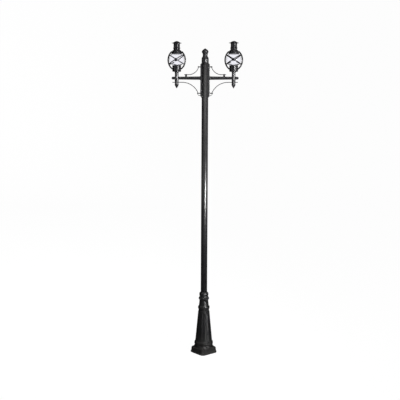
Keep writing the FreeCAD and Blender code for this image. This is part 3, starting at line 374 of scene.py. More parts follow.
def clearGlass(name, settings):
    # blown glass: nearly clear, with a faint cloudy film that catches the light
    material, tree, shader, vector = newMaterial(name)
    grain = groupNode(tree, paintGrain, vector, Peel_Scale=settings["wave"], Cast_Amount=0.0)
    tree.links.new(mixColours(tree, grain.outputs["Cloud"], settings["tint"], settings["clear"]),
                   shader.inputs["Base Color"])
    shader.inputs["Transmission Weight"].default_value = 1.0
    shader.inputs["IOR"].default_value = settings["bend"]
    tree.links.new(remap(tree, grain.outputs["Cloud"], settings["glossy"], settings["dull"]),
                   shader.inputs["Roughness"])
    addBump(tree, shader, grain.outputs["Height"], settings["bump"], 0.001)
    return material


paintBase = dict(dark=(0.006, 0.006, 0.007), light=(0.014, 0.014, 0.015), dustColour=(0.16, 0.15, 0.14),
                 glossy=0.26, dull=0.4, specular=0.45, peelScale=300.0, castScale=70.0, castAmount=0.25,
                 bump=0.18, depth=0.0006, dust=0.12, splash=0.0, dustDulling=0.35)
paints = {
    "postPaint": {},
    "castPaint": dict(castAmount=0.9, castScale=110.0, bump=0.35, depth=0.0009, glossy=0.36, dull=0.52,
                      dust=0.2, splash=0.22),
    "fittingPaint": dict(castAmount=0.6, castScale=120.0, bump=0.2, glossy=0.3, dull=0.44, specular=0.25),
    "rodPaint": dict(glossy=0.36, dull=0.5, dust=0.05),
    "lanternPaint": dict(glossy=0.24, dull=0.36, castAmount=0.1, bump=0.08, specular=0.22,
                         light=(0.009, 0.009, 0.01), dust=0.05),
}
finishes = {name: blackPaint(name, {**paintBase, **changes}) for name, changes in paints.items()}
glasses = {
    "globeGlass": dict(tint=(0.93, 0.93, 0.97), clear=(0.98, 0.98, 1.0), bend=1.12, glossy=0.02, dull=0.07,
                       wave=30.0, bump=0.05),
    "lampGlass": dict(tint=(0.95, 0.95, 0.96), clear=(1.0, 1.0, 1.0), bend=1.08, glossy=0.0, dull=0.03,
                      wave=40.0, bump=0.02),
}
finishes.update({name: clearGlass(name, settings) for name, settings in glasses.items()})
plain = {
    "porcelain": dict(dark=(0.72, 0.7, 0.66), light=(0.85, 0.84, 0.8), glossy=0.12, dull=0.25, grain=80.0),
    "sealRubber": dict(dark=(0.02, 0.02, 0.02), light=(0.045, 0.045, 0.045), glossy=0.6, dull=0.8,
                       grain=200.0),
    "lampMetal": dict(dark=(0.62, 0.6, 0.56), light=(0.8, 0.79, 0.75), glossy=0.2, dull=0.35, grain=150.0,
                      metal=1.0),
    "stainless": dict(dark=(0.42, 0.42, 0.43), light=(0.62, 0.62, 0.62), glossy=0.24, dull=0.4, grain=260.0,
                      metal=1.0),
    "zincPlate": dict(dark=(0.46, 0.48, 0.5), light=(0.66, 0.68, 0.7), glossy=0.3, dull=0.5, grain=90.0,
                      metal=1.0),
    "turnedBrass": dict(dark=(0.5, 0.34, 0.12), light=(0.68, 0.5, 0.2), glossy=0.22, dull=0.42, grain=200.0,
                        metal=1.0),
    "fusePlastic": dict(dark=(0.5, 0.5, 0.48), light=(0.62, 0.62, 0.6), glossy=0.42, dull=0.6, grain=240.0),
    "flexSleeve": dict(dark=(0.03, 0.03, 0.032), light=(0.06, 0.06, 0.062), glossy=0.45, dull=0.6,
                       grain=200.0),
}
finishes.update({name: plainFinish(name, settings) for name, settings in plain.items()})
print("materials made:", len(finishes))


# ---- base

plinthShape = dict(side=238.0, topSide=225.0, clip=23.0, sharpness=26.0, footStep=3.0, shoulder=65.0,
                   neck=105.0, mouth=90.5, well=100.0, count=192)


def clippedSquare(angle, half, cut, sharpness):
    # distance to a square's four sides and four clipped corners, blended so that edges are slightly round
    square = np.stack([np.cos(angle - turn) for turn in np.arange(4) * math.pi / 2]) / half
    corners = np.stack([np.cos(angle - turn) for turn in (np.arange(4) + 0.5) * math.pi / 2]) / cut
    closeness = np.clip(np.vstack([square, corners]), 0, None)
    return (closeness ** sharpness).sum(axis=0) ** (-1 / sharpness)


def makePlinth(shape):
    # rings of a clipped square that give way to a circle on the sloping top
    top = cadFacts("base_plinth")[1][2]
    half, topHalf = shape["side"] / 2, shape["topSide"] / 2
    step, shoulder, neck = shape["footStep"], shape["shoulder"], shape["neck"]
    levels = np.array([  # height, reach to a side, roundness (0 square, 1 circle)
        (0.0, half + step - 1.5, 0), (1.5, half + step, 0), (14.0, half + step, 0),
        (16.5, half + step - 1.0, 0), (18.0, half - 0.5, 0), (21.0, half - 1.0, 0),
        (shoulder - 10.0, topHalf + 1.6, 0), (shoulder - 3.0, topHalf + 0.6, 0),
        (shoulder, topHalf - 2.0, 0.02), (shoulder + 3.0, topHalf - 6.5, 0.1),
        (shoulder + 8.0, topHalf - 8.5, 0.35), (shoulder + 15.0, neck + 2.5, 0.75),
        (top - 8.0, neck + 2.0, 0.92), (top - 3.0, neck + 1.5, 1.0), (top, neck, 1.0),
        (top, shape["mouth"], 1.0), (shoulder - 5.0, shape["mouth"], 1.0),
        (shoulder - 15.0, shape["well"], 1.0), (0.0, shape["well"], 1.0)])
    angle = np.linspace(0, 2 * math.pi, shape["count"], endpoint=False)
    corner = math.sqrt(2) - shape["clip"] / math.sqrt(2) / half
    square = clippedSquare(angle - math.pi / 4, 1.0, corner, shape["sharpness"])
    reach = levels[:, 1:2] * (square[None] * (1 - levels[:, 2:3]) + levels[:, 2:3])
    points = np.stack([reach * np.cos(angle), reach * np.sin(angle),
                       np.broadcast_to(levels[:, :1], reach.shape)], axis=-1) * mm
    faces = gridFaces(len(levels), shape["count"], closed=True)
    piece = meshPiece("basePlinth", points.reshape(-1, 3), faces, "post", ["base_plinth"],
                      finishes["castPaint"], "cast_base")
    return sealPoles(piece)


shaftShape = dict(flutes=12, depth=3.6, narrowing=0.82, land=0.12, count=360, fluteFoot=(66, 78),
                  fluteTop=(386, 398), gapHalf=44, gapRise=80, wall=7)


def smoothStep(value, start, end):
    share = np.clip((value - start) / (end - start), 0, 1)
    return share * share * (3 - 2 * share)


def makeShaft(shape):
    # turned profile with flutes: radius = profile - depth * window(height) * scallop(angle)
    foot = cadFacts("base_shaft")[0][2]
    profile = softProfile([(radius, foot + rise, bend) for radius, rise, bend in (
        (91, 0, 0), (103, 0, 1), (103, 3, 1.5), (107, 6, 3), (111, 12, 6), (111.4, 24, 8), (109.5, 38, 6),
        (104.5, 43, 2), (103.5, 47, 1.5), (100.5, 49, 3), (100, 58, 8), (99.0, 74, 10), (67.8, 405, 5),
        (66.0, 409, 2), (62.5, 413, 2.5), (62.3, 432, 3), (65.5, 436, 2), (68.6, 445, 7), (68.6, 461, 7),
        (65, 470, 3), (58.8, 475, 3), (57.2, 486, 10), (52.3, 538, 10), (53.5, 548, 3), (57.0, 550, 1.5),
        (61.6, 557, 5), (61.6, 569, 5), (57.5, 576, 2), (52.5, 579, 2.5), (51.3, 586, 4), (51.3, 598, 1),
        (38.4, 598, 0))])
    fine = [profile[0]]
    for start, end in zip(profile, profile[1:]):
        pieces = max(int(abs(end[1] - start[1]) // 8), 1)
        fine.extend(start + (end - start) * share for share in np.linspace(0, 1, pieces + 1)[1:])
    fine = np.array(fine)
    angle = np.linspace(0, 2 * math.pi, shape["count"], endpoint=False) + math.pi / shape["count"]
    radius, height = fine[:, :1], fine[:, 1:]
    lower = smoothStep(height, foot + shape["fluteFoot"][0], foot + shape["fluteFoot"][1])
    upper = 1 - smoothStep(height, foot + shape["fluteTop"][0], foot + shape["fluteTop"][1])
    scallop = np.cos(shape["flutes"] * angle / 2)[None, :] ** 2
    hollow = np.clip(scallop - shape["land"], 0, None) ** shape["narrowing"]
    reach = radius - shape["depth"] * lower * upper * hollow
    points = np.stack([reach * np.cos(angle), reach * np.sin(angle),
                       np.broadcast_to(height, reach.shape)], axis=-1)
    door = cadFacts("access_door")[2]
    faces = np.array(gridFaces(len(fine), shape["count"]))
    middle = points.reshape(-1, 3)[faces].mean(axis=1)
    # the faces behind the door's frame are left out
    gap = ((np.abs(middle[:, 0]) < shape["gapHalf"]) & (middle[:, 1] > 0)
           & (np.abs(middle[:, 2] - door[2]) < shape["gapRise"]))
    piece = meshPiece("baseShaft", points.reshape(-1, 3) * mm, faces[~gap].tolist(), "post", ["base_shaft"],
                      finishes["castPaint"], "cast_base")
    wall = piece.modifiers.new("wall", "SOLIDIFY")
    wall.thickness = shape["wall"] * mm
    wall.offset = -1
    return piece


makePlinth(plinthShape)
makeShaft(shaftShape)

collarLow, collarHigh, _ = cadFacts("base_collar")
turned("baseCollar", [(38.4, collarLow[2]), (51.0, collarLow[2], 1), (54.1, collarLow[2] + 3, 2),
                      (54.1, collarLow[2] + 22, 8), (50.0, collarLow[2] + 34, 8),
                      (44.0, collarHigh[2] - 1, 3), (40.5, collarHigh[2], 1), (38.4, collarHigh[2])],
       "post", count=96, loop=True, nodes=["base_collar"], material=finishes["castPaint"], slot="cast_base")
print("base made")


# ---- pole and its top

poleLow, poleHigh, _ = cadFacts("pole")
turned("poleTube", [(34.45, poleLow[2]), (38.05, poleLow[2]), (38.05, poleHigh[2]), (34.45, poleHigh[2])],
       "post", count=128, loop=True, nodes=["pole"], material=finishes["postPaint"], slot="post_paint")

capLow, capHigh, _ = cadFacts("pole_cap")
skirt = capLow[2]
turned("poleCap", [(38.4, skirt), (40.0, skirt, 0.6), (40.8, skirt + 1.5, 1), (40.8, skirt + 47, 6),
                   (38.4, skirt + 58, 6), (32.5, skirt + 67, 5), (28.4, skirt + 73, 4), (27.3, skirt + 79, 3),
                   (27.3, capHigh[2] - 5, 1), (28.6, capHigh[2] - 1.5, 1), (28.6, capHigh[2], 0.5),
                   (0.0, capHigh[2]), (0.0, skirt + 30), (38.4, skirt + 28, 1)],
       "post", count=96, loop=True, nodes=["pole_cap"], material=finishes["fittingPaint"],
       slot="fitting_paint")

knob = cadFacts("finial")[0][2]
turned("finial", [(radius, knob + rise, bend) for radius, rise, bend in (
    (0.0, 0, 0), (27.5, 0, 0.8), (28.0, 3, 1), (28.0, 9, 3), (31.0, 17, 6), (36.5, 26, 6), (38.4, 34, 5),
    (37.4, 43, 7), (31.0, 52, 8), (20.0, 61.5, 8), (9.5, 69, 5), (3.5, 72.5, 2), (0.0, 73.8, 0))],
       "post", count=96, nodes=["finial"], material=finishes["fittingPaint"], slot="fitting_paint")


def spineSection(face, half, poleRadius):
    # the bar's section: a hollow saddle against the pole, then a flat outer edge with round corners
    angle = np.linspace(math.asin(half / poleRadius), -math.asin(half / poleRadius), 17)
    saddle = np.stack([poleRadius * np.cos(angle), poleRadius * np.sin(angle)], axis=-1)
    corners = softProfile([saddle[-1], (face, -half, 3.5), (face, half, 3.5), saddle[0]])
    return np.vstack([saddle[:-1], corners[:-1]])


spineShape = dict(face=53.05, half=20.0, poleRadius=38.1, footSlope=23.0, topSlope=16.0, edge=1.2)


def makeSpine(side, sign, shape):
    # the bar between its two ends, both cut back towards the outer face
    low, high, _ = cadFacts(side + "_spine")
    face, poleRadius = shape["face"], shape["poleRadius"]
    section = spineSection(face, shape["half"], poleRadius)
    outward = np.clip((section[:, 0] - poleRadius) / (face - poleRadius), 0, 1)
    bottom = low[2] + shape["footSlope"] * outward
    top = high[2] - shape["topSlope"] * outward
    share = np.linspace(0, 1, 9)[:, None]
    height = bottom * (1 - share) + top * share
    points = np.stack([np.broadcast_to(section[:, 0] * sign, height.shape),
                       np.broadcast_to(section[:, 1], height.shape), height], axis=-1) * mm
    faces = gridFaces(len(height), len(section)) + endFaces(len(height), len(section))
    bar = sealPoles(meshPiece(side + "Spine", points.reshape(-1, 3), faces, "post", [side + "_spine"],
                              finishes["postPaint"], "post_paint"))
    soften(bar, shape["edge"])


armHeight = cadFacts("left_arm")[2][2]
lanternReach = cadFacts("right_stem")[2][0]
tubeEnd = 372.0
for side, sign in sides.items():
    makeSpine(side, sign, spineShape)
    along = "x" if sign > 0 else "-x"
    turned(side + "Arm", [(11.5, 53.0), (22.5, 53.0, 1), (22.5, 56.0, 2), (19.6, 59.5, 2), (19.4, 66.0, 8),
                          (16.3, 296.0, 20), (16.2, tubeEnd, 0.5), (11.5, tubeEnd)],
           "post", centre=(0, 0, armHeight * mm), along=along, count=64, loop=True, nodes=[side + "_arm"],
           material=finishes["postPaint"], slot="post_paint")
    turned(side + "ArmEnd", [(0.0, 362.0), (11.3, 362.0), (11.3, 371.9), (14.4, tubeEnd, 0.5),
                             (14.5, tubeEnd + 3, 1), (13.6, tubeEnd + 7.5, 2), (10.0, tubeEnd + 12, 3),
                             (5.0, tubeEnd + 13.8, 2), (0.0, tubeEnd + 14)],
           "post", centre=(0, 0, armHeight * mm), along=along, count=48, nodes=[side + "_arm_end"],
           material=finishes["fittingPaint"], slot="fitting_paint")
print("pole and arms made")


# ---- braces

braceShape = dict(highRise=39.0, highTip=241.0, highStart=190.0, highBend=120.0, highAngle=70.0,
                  highTail=4.0, highLug=127.0, highReach=81.0, lowDrop=48.0, lowTip=377.0, lowStart=264.0,
                  lowBend=200.0, lowAngle=62.0, lowTail=14.0, lowLug=173.0, lowReach=88.0, radius=4.0,
                  stayRadius=3.0, round=3, face=53.0)


def bracePath(tip, start, level, bend, sweep, way, tail):
    # a level run, then an arc of one bend radius that turns up or down, then a short straight tail
    run = np.linspace(tip, start, 12)
    level = np.stack([run, np.zeros(12), np.full(12, level)], axis=-1)
    turn = np.radians(np.linspace(0, sweep, 40))[1:]
    arc = np.stack([start - bend * np.sin(turn), np.zeros(39), level[0, 2] + way * bend * (1 - np.cos(turn))],
                   axis=-1)
    heading = np.array([-math.cos(math.radians(sweep)), 0, way * math.sin(math.radians(sweep))])
    end = arc[-1] + heading * np.linspace(0, tail, 4)[1:, None]
    return np.vstack([level, arc, end])


def makeBraces(side, sign, shape):
    flip = np.array([sign, 1, 1])
    lift = np.array([0, 0, armHeight])
    common = dict(material=finishes["rodPaint"], slot="rod_paint", sideCount=16)
    upper = bracePath(shape["highTip"] - shape["round"], shape["highStart"], shape["highRise"],
                      shape["highBend"], shape["highAngle"], 1, shape["highTail"])
    tube(side + "UpperBrace", (upper + lift) * flip * mm, shape["radius"] * mm, (0, 1, 0), "post",
         nodes=[side + "_upper_brace"], **common)
    lower = bracePath(shape["lowTip"] - shape["round"], shape["lowStart"], -shape["lowDrop"],
                      shape["lowBend"], shape["lowAngle"], -1, shape["lowTail"])
    tube(side + "LowerBrace", (lower + lift) * flip * mm, shape["radius"] * mm, (0, 1, 0), "post",
         nodes=[side + "_lower_brace"], **common)
    along = "x" if sign > 0 else "-x"
    for label, height, reach in (("HighLug", shape["highLug"], shape["highReach"]),
                                 ("LowLug", -shape["lowLug"], shape["lowReach"])):
        # a stub from the spine that swells into a round boss over the rod's end
        turned(side + label, [(0.0, shape["face"] - 1), (7.5, shape["face"] - 1), (7.5, shape["face"] + 2, 2),
                              (5.2, shape["face"] + 5, 2), (5.2, reach - 13, 2), (7.8, reach - 9, 3),
                              (8.0, reach - 3, 3), (6.0, reach + 2, 3), (0.0, reach + 3.5)],
               "post", centre=(0, 0, (armHeight + height) * mm), along=along, count=40,
               material=finishes["fittingPaint"], slot="fitting_paint")
    # the stay curls from the lower boss back to the spine
    turn = np.linspace(0, 1, 24)[:, None]
    start = np.array([shape["lowReach"] - 4, 0, -shape["lowLug"] - 6])
    end = np.array([shape["face"] - 1, 0, -shape["lowLug"] - 27])
    middle = np.array([start[0] - 6, 0, end[2] - 2])
    curl = (1 - turn) ** 2 * start + 2 * turn * (1 - turn) * middle + turn ** 2 * end
    tube(side + "LowerStay", (curl + lift) * flip * mm, shape["stayRadius"] * mm, (0, 1, 0), "post", **common)
    low, high, middle = cadFacts(side + "_brace_clip")
    near, far = middle[0] - 11.5, middle[0] + 11.5
    outline = [(near, armHeight + 14.0), (far, armHeight + 14.0), (far - 2.5, high[2] - 3),
               (far - 6, high[2]), (near + 6, high[2]), (near + 2.5, high[2] - 3)]
    block(side + "BraceClip", outline, -7.0, 7.0, "post", bevel=1.6, nodes=[side + "_brace_clip"],
          material=finishes["fittingPaint"], slot="fitting_paint")


for side, sign in sides.items():
    makeBraces(side, sign, braceShape)
print("braces made")


# ---- lanterns

def lathePart(side, label, corners, node, finish, slot, body="post", loop=False, count=96):
    centre = (sides[side] * lanternReach * mm, 0, armHeight * mm)
    return turned(side + label, corners, body, centre=centre, loop=loop, count=count,
                  nodes=[node] if node else [], material=finishes[finish], slot=slot)


def makeLanternMetal(side):
    chimneyBody = side + "_chimney_top"
    lathePart(side, "Stem", [(17.5, -22), (21.2, -22, 0.5), (21.2, 58, 4), (22.5, 64, 3), (25.6, 68, 2),
                             (26.0, 73, 0.5), (17.5, 73)],
              side + "_stem", "postPaint", "post_paint", loop=True)
    lathePart(side, "Pendant", [(0, -117), (2.6, -115.5, 1.2), (4.5, -112, 2), (13, -99, 8), (20.5, -84, 6),
                                (23.0, -77, 2), (23.0, -72, 1), (21.6, -70, 0.8), (21.6, -30, 0.8),
                                (23.2, -28, 0.8), (23.2, -23, 0.8), (22.5, -22, 0.3), (0, -22)],
              side + "_pendant", "fittingPaint", "fitting_paint")
    lathePart(side, "Drum", [(6, 73), (45, 73, 2), (49.8, 75.5, 2), (50.4, 79, 1.0), (50.4, 84, 0.8),
                             (49.4, 85.5, 0.8), (49.4, 130, 0.8), (50.4, 132, 0.8), (50.4, 136, 0.3),
                             (47.2, 136), (47.2, 76), (6, 76)],
              side + "_drum", "lanternPaint", "lantern_paint", loop=True)
    lathePart(side, "Gallery", [(34, 136), (50.4, 136, 0.3), (50.5, 138, 0.6), (50.5, 140.5, 1.2),
                                (49.0, 142, 0.8), (36, 142, 1.0), (34, 141, 1.0)],
              side + "_gallery", "lanternPaint", "lantern_paint", loop=True)
    lathePart(side, "Cap", [(46, 276), (58.4, 276, 0.5), (59.4, 277.5, 0.6), (59.4, 281, 0.6),
                            (58.0, 282.5, 0.6), (57.6, 298, 12), (51.0, 310, 10), (43.0, 317, 3), (34.5, 318),
                            (34.5, 315), (45.0, 312), (52.5, 301), (54.5, 296), (55.5, 279.5), (46, 279)],
              side + "_cap", "lanternPaint", "lantern_paint", loop=True)
    lathePart(side, "Skirt", [(57.6, 282), (58.6, 281), (64.0, 273, 6), (66.0, 268), (64.8, 268),
                              (62.4, 273, 6), (57.2, 280.5)],
              None, "lanternPaint", "lantern_paint", loop=True)
    lathePart(side, "Chimney", [(32.5, 312), (34.2, 312), (34.2, 318), (39.5, 318.1, 0.8), (39.5, 321, 1.0),
                                (36.5, 323, 1.0), (36.4, 333, 1.5), (40.0, 335.5, 1.5), (43.0, 340, 3),
                                (40.0, 344.5, 1.5), (36.4, 347, 1.5), (36.4, 387, 1), (37.8, 389, 1),
                                (37.8, 395.9, 0.6), (32.5, 395.9)],
              side + "_chimney", "lanternPaint", "lantern_paint", body=chimneyBody, loop=True)
    lathePart(side, "Hat", [(0, 396), (54.0, 396, 0.4), (57.4, 396.0, 0.4), (57.4, 397.8, 0.4),
                            (47.0, 400.5, 8), (40.0, 402.5, 3), (33.0, 408.0, 8), (20.0, 415.0, 10),
                            (8.0, 419.0, 6), (0, 419.8)],
              side + "_hat", "lanternPaint", "lantern_paint", body=chimneyBody)


hoopShape = dict(wide=98.7, tall=117.2, centre=205.0, radius=8.3, capReach=56.5, drumReach=47.5, steps=64)


def makeHoop(side, sign, shape):
    # the oval: x = wide sin t, z = centre + tall cos t, from inside the cap's wall to inside the drum's
    wide = shape["wide"]
    turn = np.linspace(math.asin(shape["capReach"] / wide), math.pi - math.asin(shape["drumReach"] / wide),
                       shape["steps"])
    arc = np.stack([wide * np.sin(turn), np.zeros(shape["steps"]),
                    shape["centre"] + shape["tall"] * np.cos(turn)], axis=-1)
    for way, label in ((1, "Right"), (-1, "Left")):
        path = (arc * np.array([way, 1, 1]) + np.array([sign * lanternReach, 0, armHeight])) * mm
        nodes = [side + "_hoop"] if way == 1 else []
        tube(side + "Hoop" + label, path, shape["radius"] * mm, (0, 1, 0), "post", sideCount=28,
             roundEnds=False, nodes=nodes, material=finishes["lanternPaint"], slot="guard_paint")


guardShape = dict(reach=85.5, setback=4.0, rise=53.5, sag=90.3, radius=5.6, centre=210.5, steps=56)


def makeGuards(side, sign, shape):
    # each bar is an arc through the tube on one side, the front of the globe and the tube on the other
    centre, sag = shape["centre"], shape["sag"]
    for face, way in (("Front", 1), ("Rear", -1)):
        for tilt, label in ((1, "Rising"), (-1, "Falling")):
            ends = np.array([(-shape["reach"], -shape["setback"], -shape["rise"] * tilt),
                             (shape["reach"], -shape["setback"], shape["rise"] * tilt)])
            chord = np.linalg.norm(ends[1] - ends[0])
            bend = chord ** 2 / 8 / sag + sag / 2
            half = math.asin(min(chord / 2 / bend, 1.0))
            if sag > bend:
                half = math.pi - half
            turn = np.linspace(-half, half, shape["steps"])
            along = (ends[1] - ends[0]) / chord
            depth = bend * np.cos(turn) + (sag - bend)
            path = along[None] * (bend * np.sin(turn))[:, None] + np.array([0, -1, 0])[None] * depth[:, None]
            path[:, 1] -= shape["setback"]
            path = path * np.array([1, way, 1]) + np.array([sign * lanternReach, 0, armHeight + centre])
            across = np.cross(along, (0, 1, 0))
            nodes = [side + "_" + face.lower() + "_guard"] if tilt == 1 else []
            tube(side + face + "Bar" + label, path * mm, shape["radius"] * mm, across, "post",
                 sideCount=16, nodes=nodes, material=finishes["lanternPaint"], slot="guard_paint")
        spot = (sign * lanternReach * mm, 0, (armHeight + centre) * mm)
        rise = 1.0 if way == 1 else -1.0
        boss = [(0, -102.5 * rise), (7, -102 * rise, 2), (10.5, -100 * rise, 2), (11.8, -97 * rise, 1),
                (11.8, -91 * rise, 1), (8, -89 * rise, 1), (0, -89 * rise)]
        turned(side + face + "Boss", boss, "post", centre=spot, along="y", count=40,
               material=finishes["lanternPaint"], slot="guard_paint")


globeShape = dict(foot=45.0, mouth=52.0, belly=86.3, reach=68.9, half=52.0, wall=3.8, base=145.2, top=275.6,
                  middle=210.5, steps=48, edge=6.0)


def makeGlass(side, shape):
    # foot cone, ball-shaped belly, mouth cone; the inner skin runs back down at a wall's distance
    sweep = math.atan2(shape["half"], shape["reach"])
    turn = np.linspace(-sweep, sweep, shape["steps"])

    def skin(inset):
        belly = shape["belly"] - inset
        arc = [(belly * math.cos(angle), shape["middle"] + belly * math.sin(angle)) for angle in turn]
        return [(shape["foot"] - inset, shape["base"])] + arc + [(shape["mouth"] - inset, shape["top"])]

    corners = skin(0.0) + skin(shape["wall"])[::-1]
    # the outer skin is rounded where the belly meets the cones
    rounded = [corner + (shape["edge"],) if index in (1, shape["steps"]) else corner
               for index, corner in enumerate(corners)]
    lathePart(side, "Globe", rounded, side + "_globe", "globeGlass", "globe_glass", loop=True, count=96)
    low, high, _ = cadFacts(side + "_lamp_glass")
    foot, top = low[2] - armHeight, high[2] - armHeight
    bulb = [(0, foot), (12.6, foot), (13.0, foot + 4, 3), (15.5, foot + 18, 14), (27.0, foot + 42, 16),
            (30.0, foot + 60, 16), (26.0, top - 13, 12), (14.0, top - 3, 10), (0, top)]
    lathePart(side, "LampGlass", bulb, side + "_lamp_glass", "lampGlass", "lamp_glass", count=64)


for side, sign in sides.items():
    makeLanternMetal(side)
    makeHoop(side, sign, hoopShape)
    makeGuards(side, sign, guardShape)
    makeGlass(side, globeShape)
print("lanterns made")


# ---- door at the back

doorShape = dict(margin=8.0, hinge=(-52 * mm, 101.3 * mm, 0), lugRises=(-70.0, -42.4, 42.4, 70.0),
                 knuckleRise=56.2, back=96.3, front=101.3)


def framePath(half, low, high, corner=6.0):
    # a rectangle with round corners, walked anticlockwise seen from behind
    turn = np.linspace(0, math.pi / 2, 7)
    rings = []
    for quarter, (x, z) in enumerate(((1, 1), (-1, 1), (-1, -1), (1, -1))):
        angle = turn + quarter * math.pi / 2
        centre = np.array([x * (half - corner), (high - corner) if z > 0 else (low + corner)])
        rings.append(centre + corner * np.stack([np.cos(angle), np.sin(angle)], axis=-1))
    return np.vstack(rings)


def makeDoorFrame(shape):
    # the raised frame: its section carried round the opening, ring by ring
    low, high, middle = cadFacts("access_door")
    bottom, top = low[2] - shape["margin"], high[2] + shape["margin"]
    rings = [(54.0, 0.0, 52.0), (54.0, 0.0, 92.5), (53.4, 0.6, 94.6), (51.5, 2.4, 96.0), (39.0, 23.0, 96.0),
             (38.0, 24.0, 95.0), (38.0, 24.0, 88.5), (46.0, 16.0, 88.0), (46.0, 16.0, 52.0)]
    points = []
    for half, inset, depth in rings:
        ring = framePath(half, bottom + inset, top - inset)
        points.append(np.column_stack([ring[:, 0], np.full(len(ring), depth), ring[:, 1]]))
    count = len(points[0])
    points = np.vstack(points) * mm
    piece = meshPiece("doorFrame", points, gridFaces(len(rings), count, closed=True), "post",
                      ["door_frame", "door_box"], finishes["castPaint"], "cast_base")
    sealPoles(piece)
    for number, rise in enumerate(shape["lugRises"]):
        # hinge lugs above and below each knuckle
        height = middle[2] + rise
        turned("hingeLug" + str(number), [(2.5, height - 6), (4.6, height - 6, 0.3),
                                          (5.0, height - 5.6, 0.3), (5.0, height + 5.6, 0.3),
                                          (4.6, height + 6, 0.3), (2.5, height + 6)],
               "post", centre=shape["hinge"], count=32, loop=True, material=finishes["castPaint"],
               slot="cast_base")
        block("lugWeb" + str(number), [(-56.0, height - 5.8), (-50.5, height - 5.8), (-50.5, height + 5.8),
                                       (-56.0, height + 5.8)], 94.0, 99.0, "post", bevel=0.5,
              material=finishes["castPaint"], slot="cast_base")


def makeDoor(shape):
    # a plate with a bevelled edge and a raised panel, each ring set in from the last
    low, high, middle = cadFacts("access_door")
    plate = framePath(46.0, low[2], high[2], 5.0)
    back, front = shape["back"], shape["front"]
    rings = [(plate, back), (plate, front - 0.8), (framePath(45.2, low[2] + 0.8, high[2] - 0.8, 4.4), front)]
    inner = [(38.0, 8.0, front), (37.0, 9.0, front - 1.4), (33.0, 13.0, front - 1.4),
             (31.0, 15.0, front - 0.2)]
    rings += [(framePath(half, low[2] + inset, high[2] - inset, 4.0), depth) for half, inset, depth in inner]
    points = np.vstack([np.column_stack([ring[:, 0], np.full(len(ring), depth), ring[:, 1]])
                        for ring, depth in rings]) * mm
    faces = gridFaces(len(rings), len(plate)) + endFaces(len(rings), len(plate))
    door = sealPoles(meshPiece("accessDoor", points, faces, "door", ["access_door"], finishes["castPaint"],
                               "door_paint"))
    soften(door, 0.4, 2)
    for label, height in (("Lower", middle[2] - shape["knuckleRise"]),
                          ("Upper", middle[2] + shape["knuckleRise"])):
        turned("doorKnuckle" + label, [(2.6, height - 7.5), (4.5, height - 7.5, 0.3),
                                       (5.0, height - 7.0, 0.3), (5.0, height + 7.0, 0.3),
                                       (4.5, height + 7.5, 0.3), (2.6, height + 7.5)],
               "door", centre=shape["hinge"], count=32, loop=True, material=finishes["castPaint"],
               slot="door_paint")
        block("doorLeaf" + label, [(-50.0, height - 7.2), (-45.5, height - 7.2), (-45.5, height + 7.2),
                                   (-50.0, height + 7.2)], 96.6, 101.0, "door", bevel=0.4,
              material=finishes["castPaint"], slot="door_paint")


makeDoorFrame(doorShape)
makeDoor(doorShape)

# pieces shown as the part's own surfaces, with a finish each
bareNodes = {
    "door_hinge_pins": "stainless", "set_screws": "stainless", "globe_seals": "sealRubber",
    "lantern_wires": "flexSleeve", "spine_screws": "postPaint", "door_lock": "turnedBrass",
    "earth_stud": "turnedBrass", "gear_bracket": "zincPlate", "fuse_unit": "fusePlastic",
    "pole_flange": "castPaint",
}
for side in sides:
    bareNodes.update({side + "_lampholder": "porcelain", side + "_lamp_cap": "lampMetal"})
for node, finish in bareNodes.items():
    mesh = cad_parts[node].data
    mesh.materials.clear()
    mesh.materials.append(finishes[finish])
print("door and gear made")


# ---- floor, light and camera

studio = dict(reach=30.0, back=14.0, bend=4.0, wall=16.0, pale=(0.14, 0.14, 0.14), dim=0.12,
              seenSky=1.0, otherSky=0.05, glow=0.975)


def seenBy(tree, *kinds):
    # 1 for the light paths named, 0 for all the others
    path = tree.nodes.new("ShaderNodeLightPath")
    total = path.outputs[kinds[0]]
    for kind in kinds[1:]:
        total = mathNode(tree, "MAXIMUM", total, path.outputs[kind])
    return total


def makeStage(shape):
    # a floor that sweeps up into a wall: flat, a quarter turn, then upright
    turn = np.linspace(0, math.pi / 2, 25)
    back, bend = shape["back"], shape["bend"]
    curve = np.stack([back + bend * np.sin(turn), bend * (1 - np.cos(turn))], axis=-1)
    path = np.vstack([[-shape["reach"], 0], curve, [back + bend, shape["wall"]]])
    ends = [np.column_stack([np.full(len(path), x), path]) for x in (-shape["reach"], shape["reach"])]
    count = len(path)
    faces = [(i, i + count, i + count + 1, i + 1) for i in range(count - 1)]
    mesh = bpy.data.meshes.new("floor")
    mesh.from_pydata(np.vstack(ends).tolist(), [], faces)
    mesh.polygons.foreach_set("use_smooth", [True] * len(faces))
    floor = bpy.data.objects.new("floor", mesh)
    bpy.context.scene.collection.objects.link(floor)
    material, tree, shader, _ = newMaterial("paleFloor")
    seen = seenBy(tree, "Is Camera Ray", "Is Transmission Ray")
    tree.links.new(mixColours(tree, seen, (shape["dim"],) * 3, shape["pale"]), shader.inputs["Base Color"])
    shader.inputs["Roughness"].default_value = 1.0
    shader.inputs["Specular IOR Level"].default_value = 0.0
    shader.inputs["Emission Color"].default_value = (1, 1, 1, 1)
    tree.links.new(mathNode(tree, "MULTIPLY", seen, shape["glow"]), shader.inputs["Emission Strength"])
    mesh.materials.append(material)


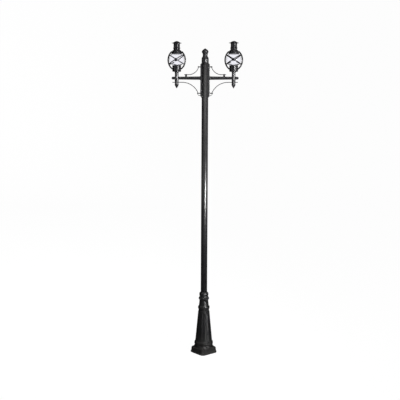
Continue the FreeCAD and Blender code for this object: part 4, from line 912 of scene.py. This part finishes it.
def areaLight(name, place, target, size, power, spread=180):
    light = bpy.data.lights.new(name, "AREA")
    light.shape = "RECTANGLE"
    light.size, light.size_y = size
    light.energy = power
    light.spread = math.radians(spread)
    lamp = bpy.data.objects.new(name, light)
    bpy.context.scene.collection.objects.link(lamp)
    lamp.location = place
    lamp.rotation_mode = "QUATERNION"
    lamp.rotation_quaternion = (Vector(target) - Vector(place)).to_track_quat("-Z", "Y")


def makeWorld(shape):
    world = bpy.data.worlds.new("studio")
    bpy.context.scene.world = world
    world.use_nodes = True
    tree = world.node_tree
    seen = seenBy(tree, "Is Camera Ray", "Is Transmission Ray")
    tree.links.new(mixColours(tree, seen, (shape["otherSky"],) * 3, (shape["seenSky"],) * 3),
                   tree.nodes["Background"].inputs["Color"])


cameraView = dict(distance=8.72, azimuth=4.0, height=2.842, pitch=6.6, roll=0.27, sideways=0.338, lens=67.4,
                  sensor=36.0)


def makeCamera(view):
    # stands on a circle about the pole and turns: sideways, then down, then over
    azimuth = math.radians(view["azimuth"])
    data = bpy.data.cameras.new("camera")
    data.lens = view["lens"]
    data.sensor_width = view["sensor"]
    camera = bpy.data.objects.new("camera", data)
    bpy.context.scene.collection.objects.link(camera)
    place = Vector((math.sin(azimuth), -math.cos(azimuth), 0)) * view["distance"]
    place.z = view["height"]
    turn = (Matrix.Rotation(azimuth + math.radians(view["sideways"]), 4, "Z")
            @ Matrix.Rotation(math.radians(90 - view["pitch"]), 4, "X")
            @ Matrix.Rotation(math.radians(view["roll"]), 4, "Z"))
    camera.matrix_world = Matrix.Translation(place) @ turn
    bpy.context.scene.camera = camera


lights = {
    "keyLight": dict(place=(3.9, -4.7, 2.6), target=(0, 0, 2.6), size=(1.0, 2.0), power=110, spread=50),
    "rimLight": dict(place=(6.0, -1.1, 3.2), target=(0, 0, 3.0), size=(0.5, 3.0), power=8, spread=80),
    "fillLight": dict(place=(-4.6, -3.6, 3.6), target=(0, 0, 2.6), size=(1.0, 3.0), power=40),
    "topLight": dict(place=(0.5, -1.5, 7.5), target=(0, 0, 2.0), size=(3.0, 3.0), power=60),
}
makeStage(studio)
makeWorld(studio)
for name, settings in lights.items():
    areaLight(name, **settings)
makeCamera(cameraView)
bpy.context.scene.view_settings.view_transform = "Standard"
print("stage set")
